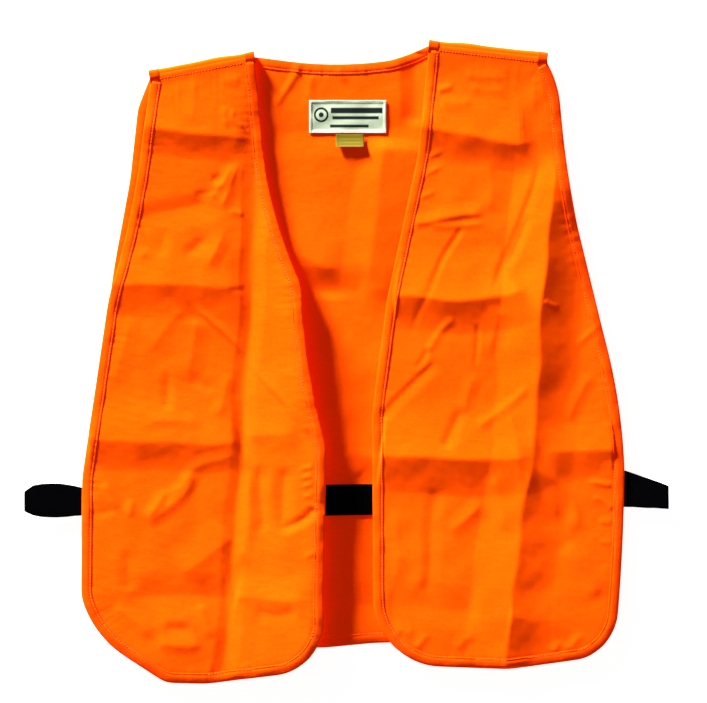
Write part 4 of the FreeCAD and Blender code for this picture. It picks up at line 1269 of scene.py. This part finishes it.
def curled(s, t):
    """The free end of the tag stands up: a quarter wave from its sewn top to its foot, and a slight twist."""
    return (3.6 * (1 - t) ** 2 + 0.8 * (1 - t) * (s - 0.5)) * MM


tag = patch("care_tag_tape", tag_corners, 34, 30, lambda x, y: np.full(x.shape, TAG_LEVEL), curled, 0.25 * MM,
            tag_tape)
stand_in(tag, "care_tag", "care_tag", "care_tag")
print("label", len(label.data.polygons), "faces,", count, "stitches; tag", len(tag.data.polygons), "faces")

# %% [markdown]
# ## What the cloth was cut from
# Each panel's cut size, from its box, and the area inside its outline are printed.


def plan_area(outline):
    """Area inside a closed outline: half the sum of the cross products of neighbouring points."""
    following = np.roll(outline, -1, axis=0)
    return abs(float((outline[:, 0] * following[:, 1] - outline[:, 1] * following[:, 0]).sum())) / 2


for name, cloth in PANELS.items():
    low, high = BOX[name]
    area = plan_area(OUTLINES[name])
    [] if name == "back_panel" else ["back_cloth"]
    print(name, "cut", round(high.x - low.x, 3), "by", round(high.y - low.y, 3), "m, area", round(area, 4))

# %% [markdown]
# ## Table, light and camera
# The vest lies on a pale table under one soft light that comes in low over its neck, from the left,
# so that every fold shows. A little light from all round keeps the shaded sides from going black,
# and only the camera sees the backdrop at its full white.
# The camera looks straight down from far away with a long lens, which keeps the outline true.

# %% Table

pale_table = finish("pale_table", (0.9, 0.9, 0.9, 1), 0.9, Specular_IOR_Level=0.1,
                    Emission_Color=(1, 1, 1, 1), Emission_Strength=0.92)
HALF_TABLE, BELOW = 6.0, -0.2 * MM
corners = [(-1, -1), (1, -1), (1, 1), (-1, 1)]
table_top = new_piece("table_top", np.array([(x * HALF_TABLE, y * HALF_TABLE, BELOW) for x, y in corners]),
                      [np.array([[0, 1, 2, 3]])], None, [pale_table])
table_top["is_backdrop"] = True

# %% Light

KEY_PLAN = np.array([-0.56, 0.83])
KEY_RISE = math.radians(12)
sun = bpy.data.lights.new("key", "SUN")
sun.energy = 1.5 * math.pi / math.sin(KEY_RISE)
sun.angle = math.radians(12)
sun.color = (1.0, 0.985, 0.96)
key = bpy.data.objects.new("key", sun)
way = np.append(KEY_PLAN / np.linalg.norm(KEY_PLAN) * math.cos(KEY_RISE), math.sin(KEY_RISE))
key.rotation_mode = "QUATERNION"
key.rotation_quaternion = Vector(way).to_track_quat("Z", "Y")
bpy.context.scene.collection.objects.link(key)

FILL, BACKDROP = 0.085, 1.0
world = bpy.data.worlds.new("studio")
bpy.context.scene.world = world
world.use_nodes = True
background = world.node_tree.nodes["Background"]
background.inputs["Color"].default_value = (1, 1, 1, 1)
seen = add_node(world.node_tree, "ShaderNodeLightPath", {}, {}, "Is Camera Ray")
world.node_tree.links.new((seen * (BACKDROP - FILL) + FILL).socket, background.inputs["Strength"])
bpy.context.scene.view_settings.view_transform = "Standard"

# %% Camera

WIDTH = 0.7282
lens = bpy.data.cameras.new("overhead")
lens.lens = 200
lens.sensor_width = 36
lens.clip_end = 20
camera = bpy.data.objects.new("overhead", lens)
camera.location = (0.0072, 0.0100, lens.lens / lens.sensor_width * WIDTH + 0.010)
bpy.context.scene.collection.objects.link(camera)
bpy.context.scene.camera = camera

# %% Sizes, and the end
low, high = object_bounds()
print("visual box", [round(v, 4) for v in (*low, *high)])
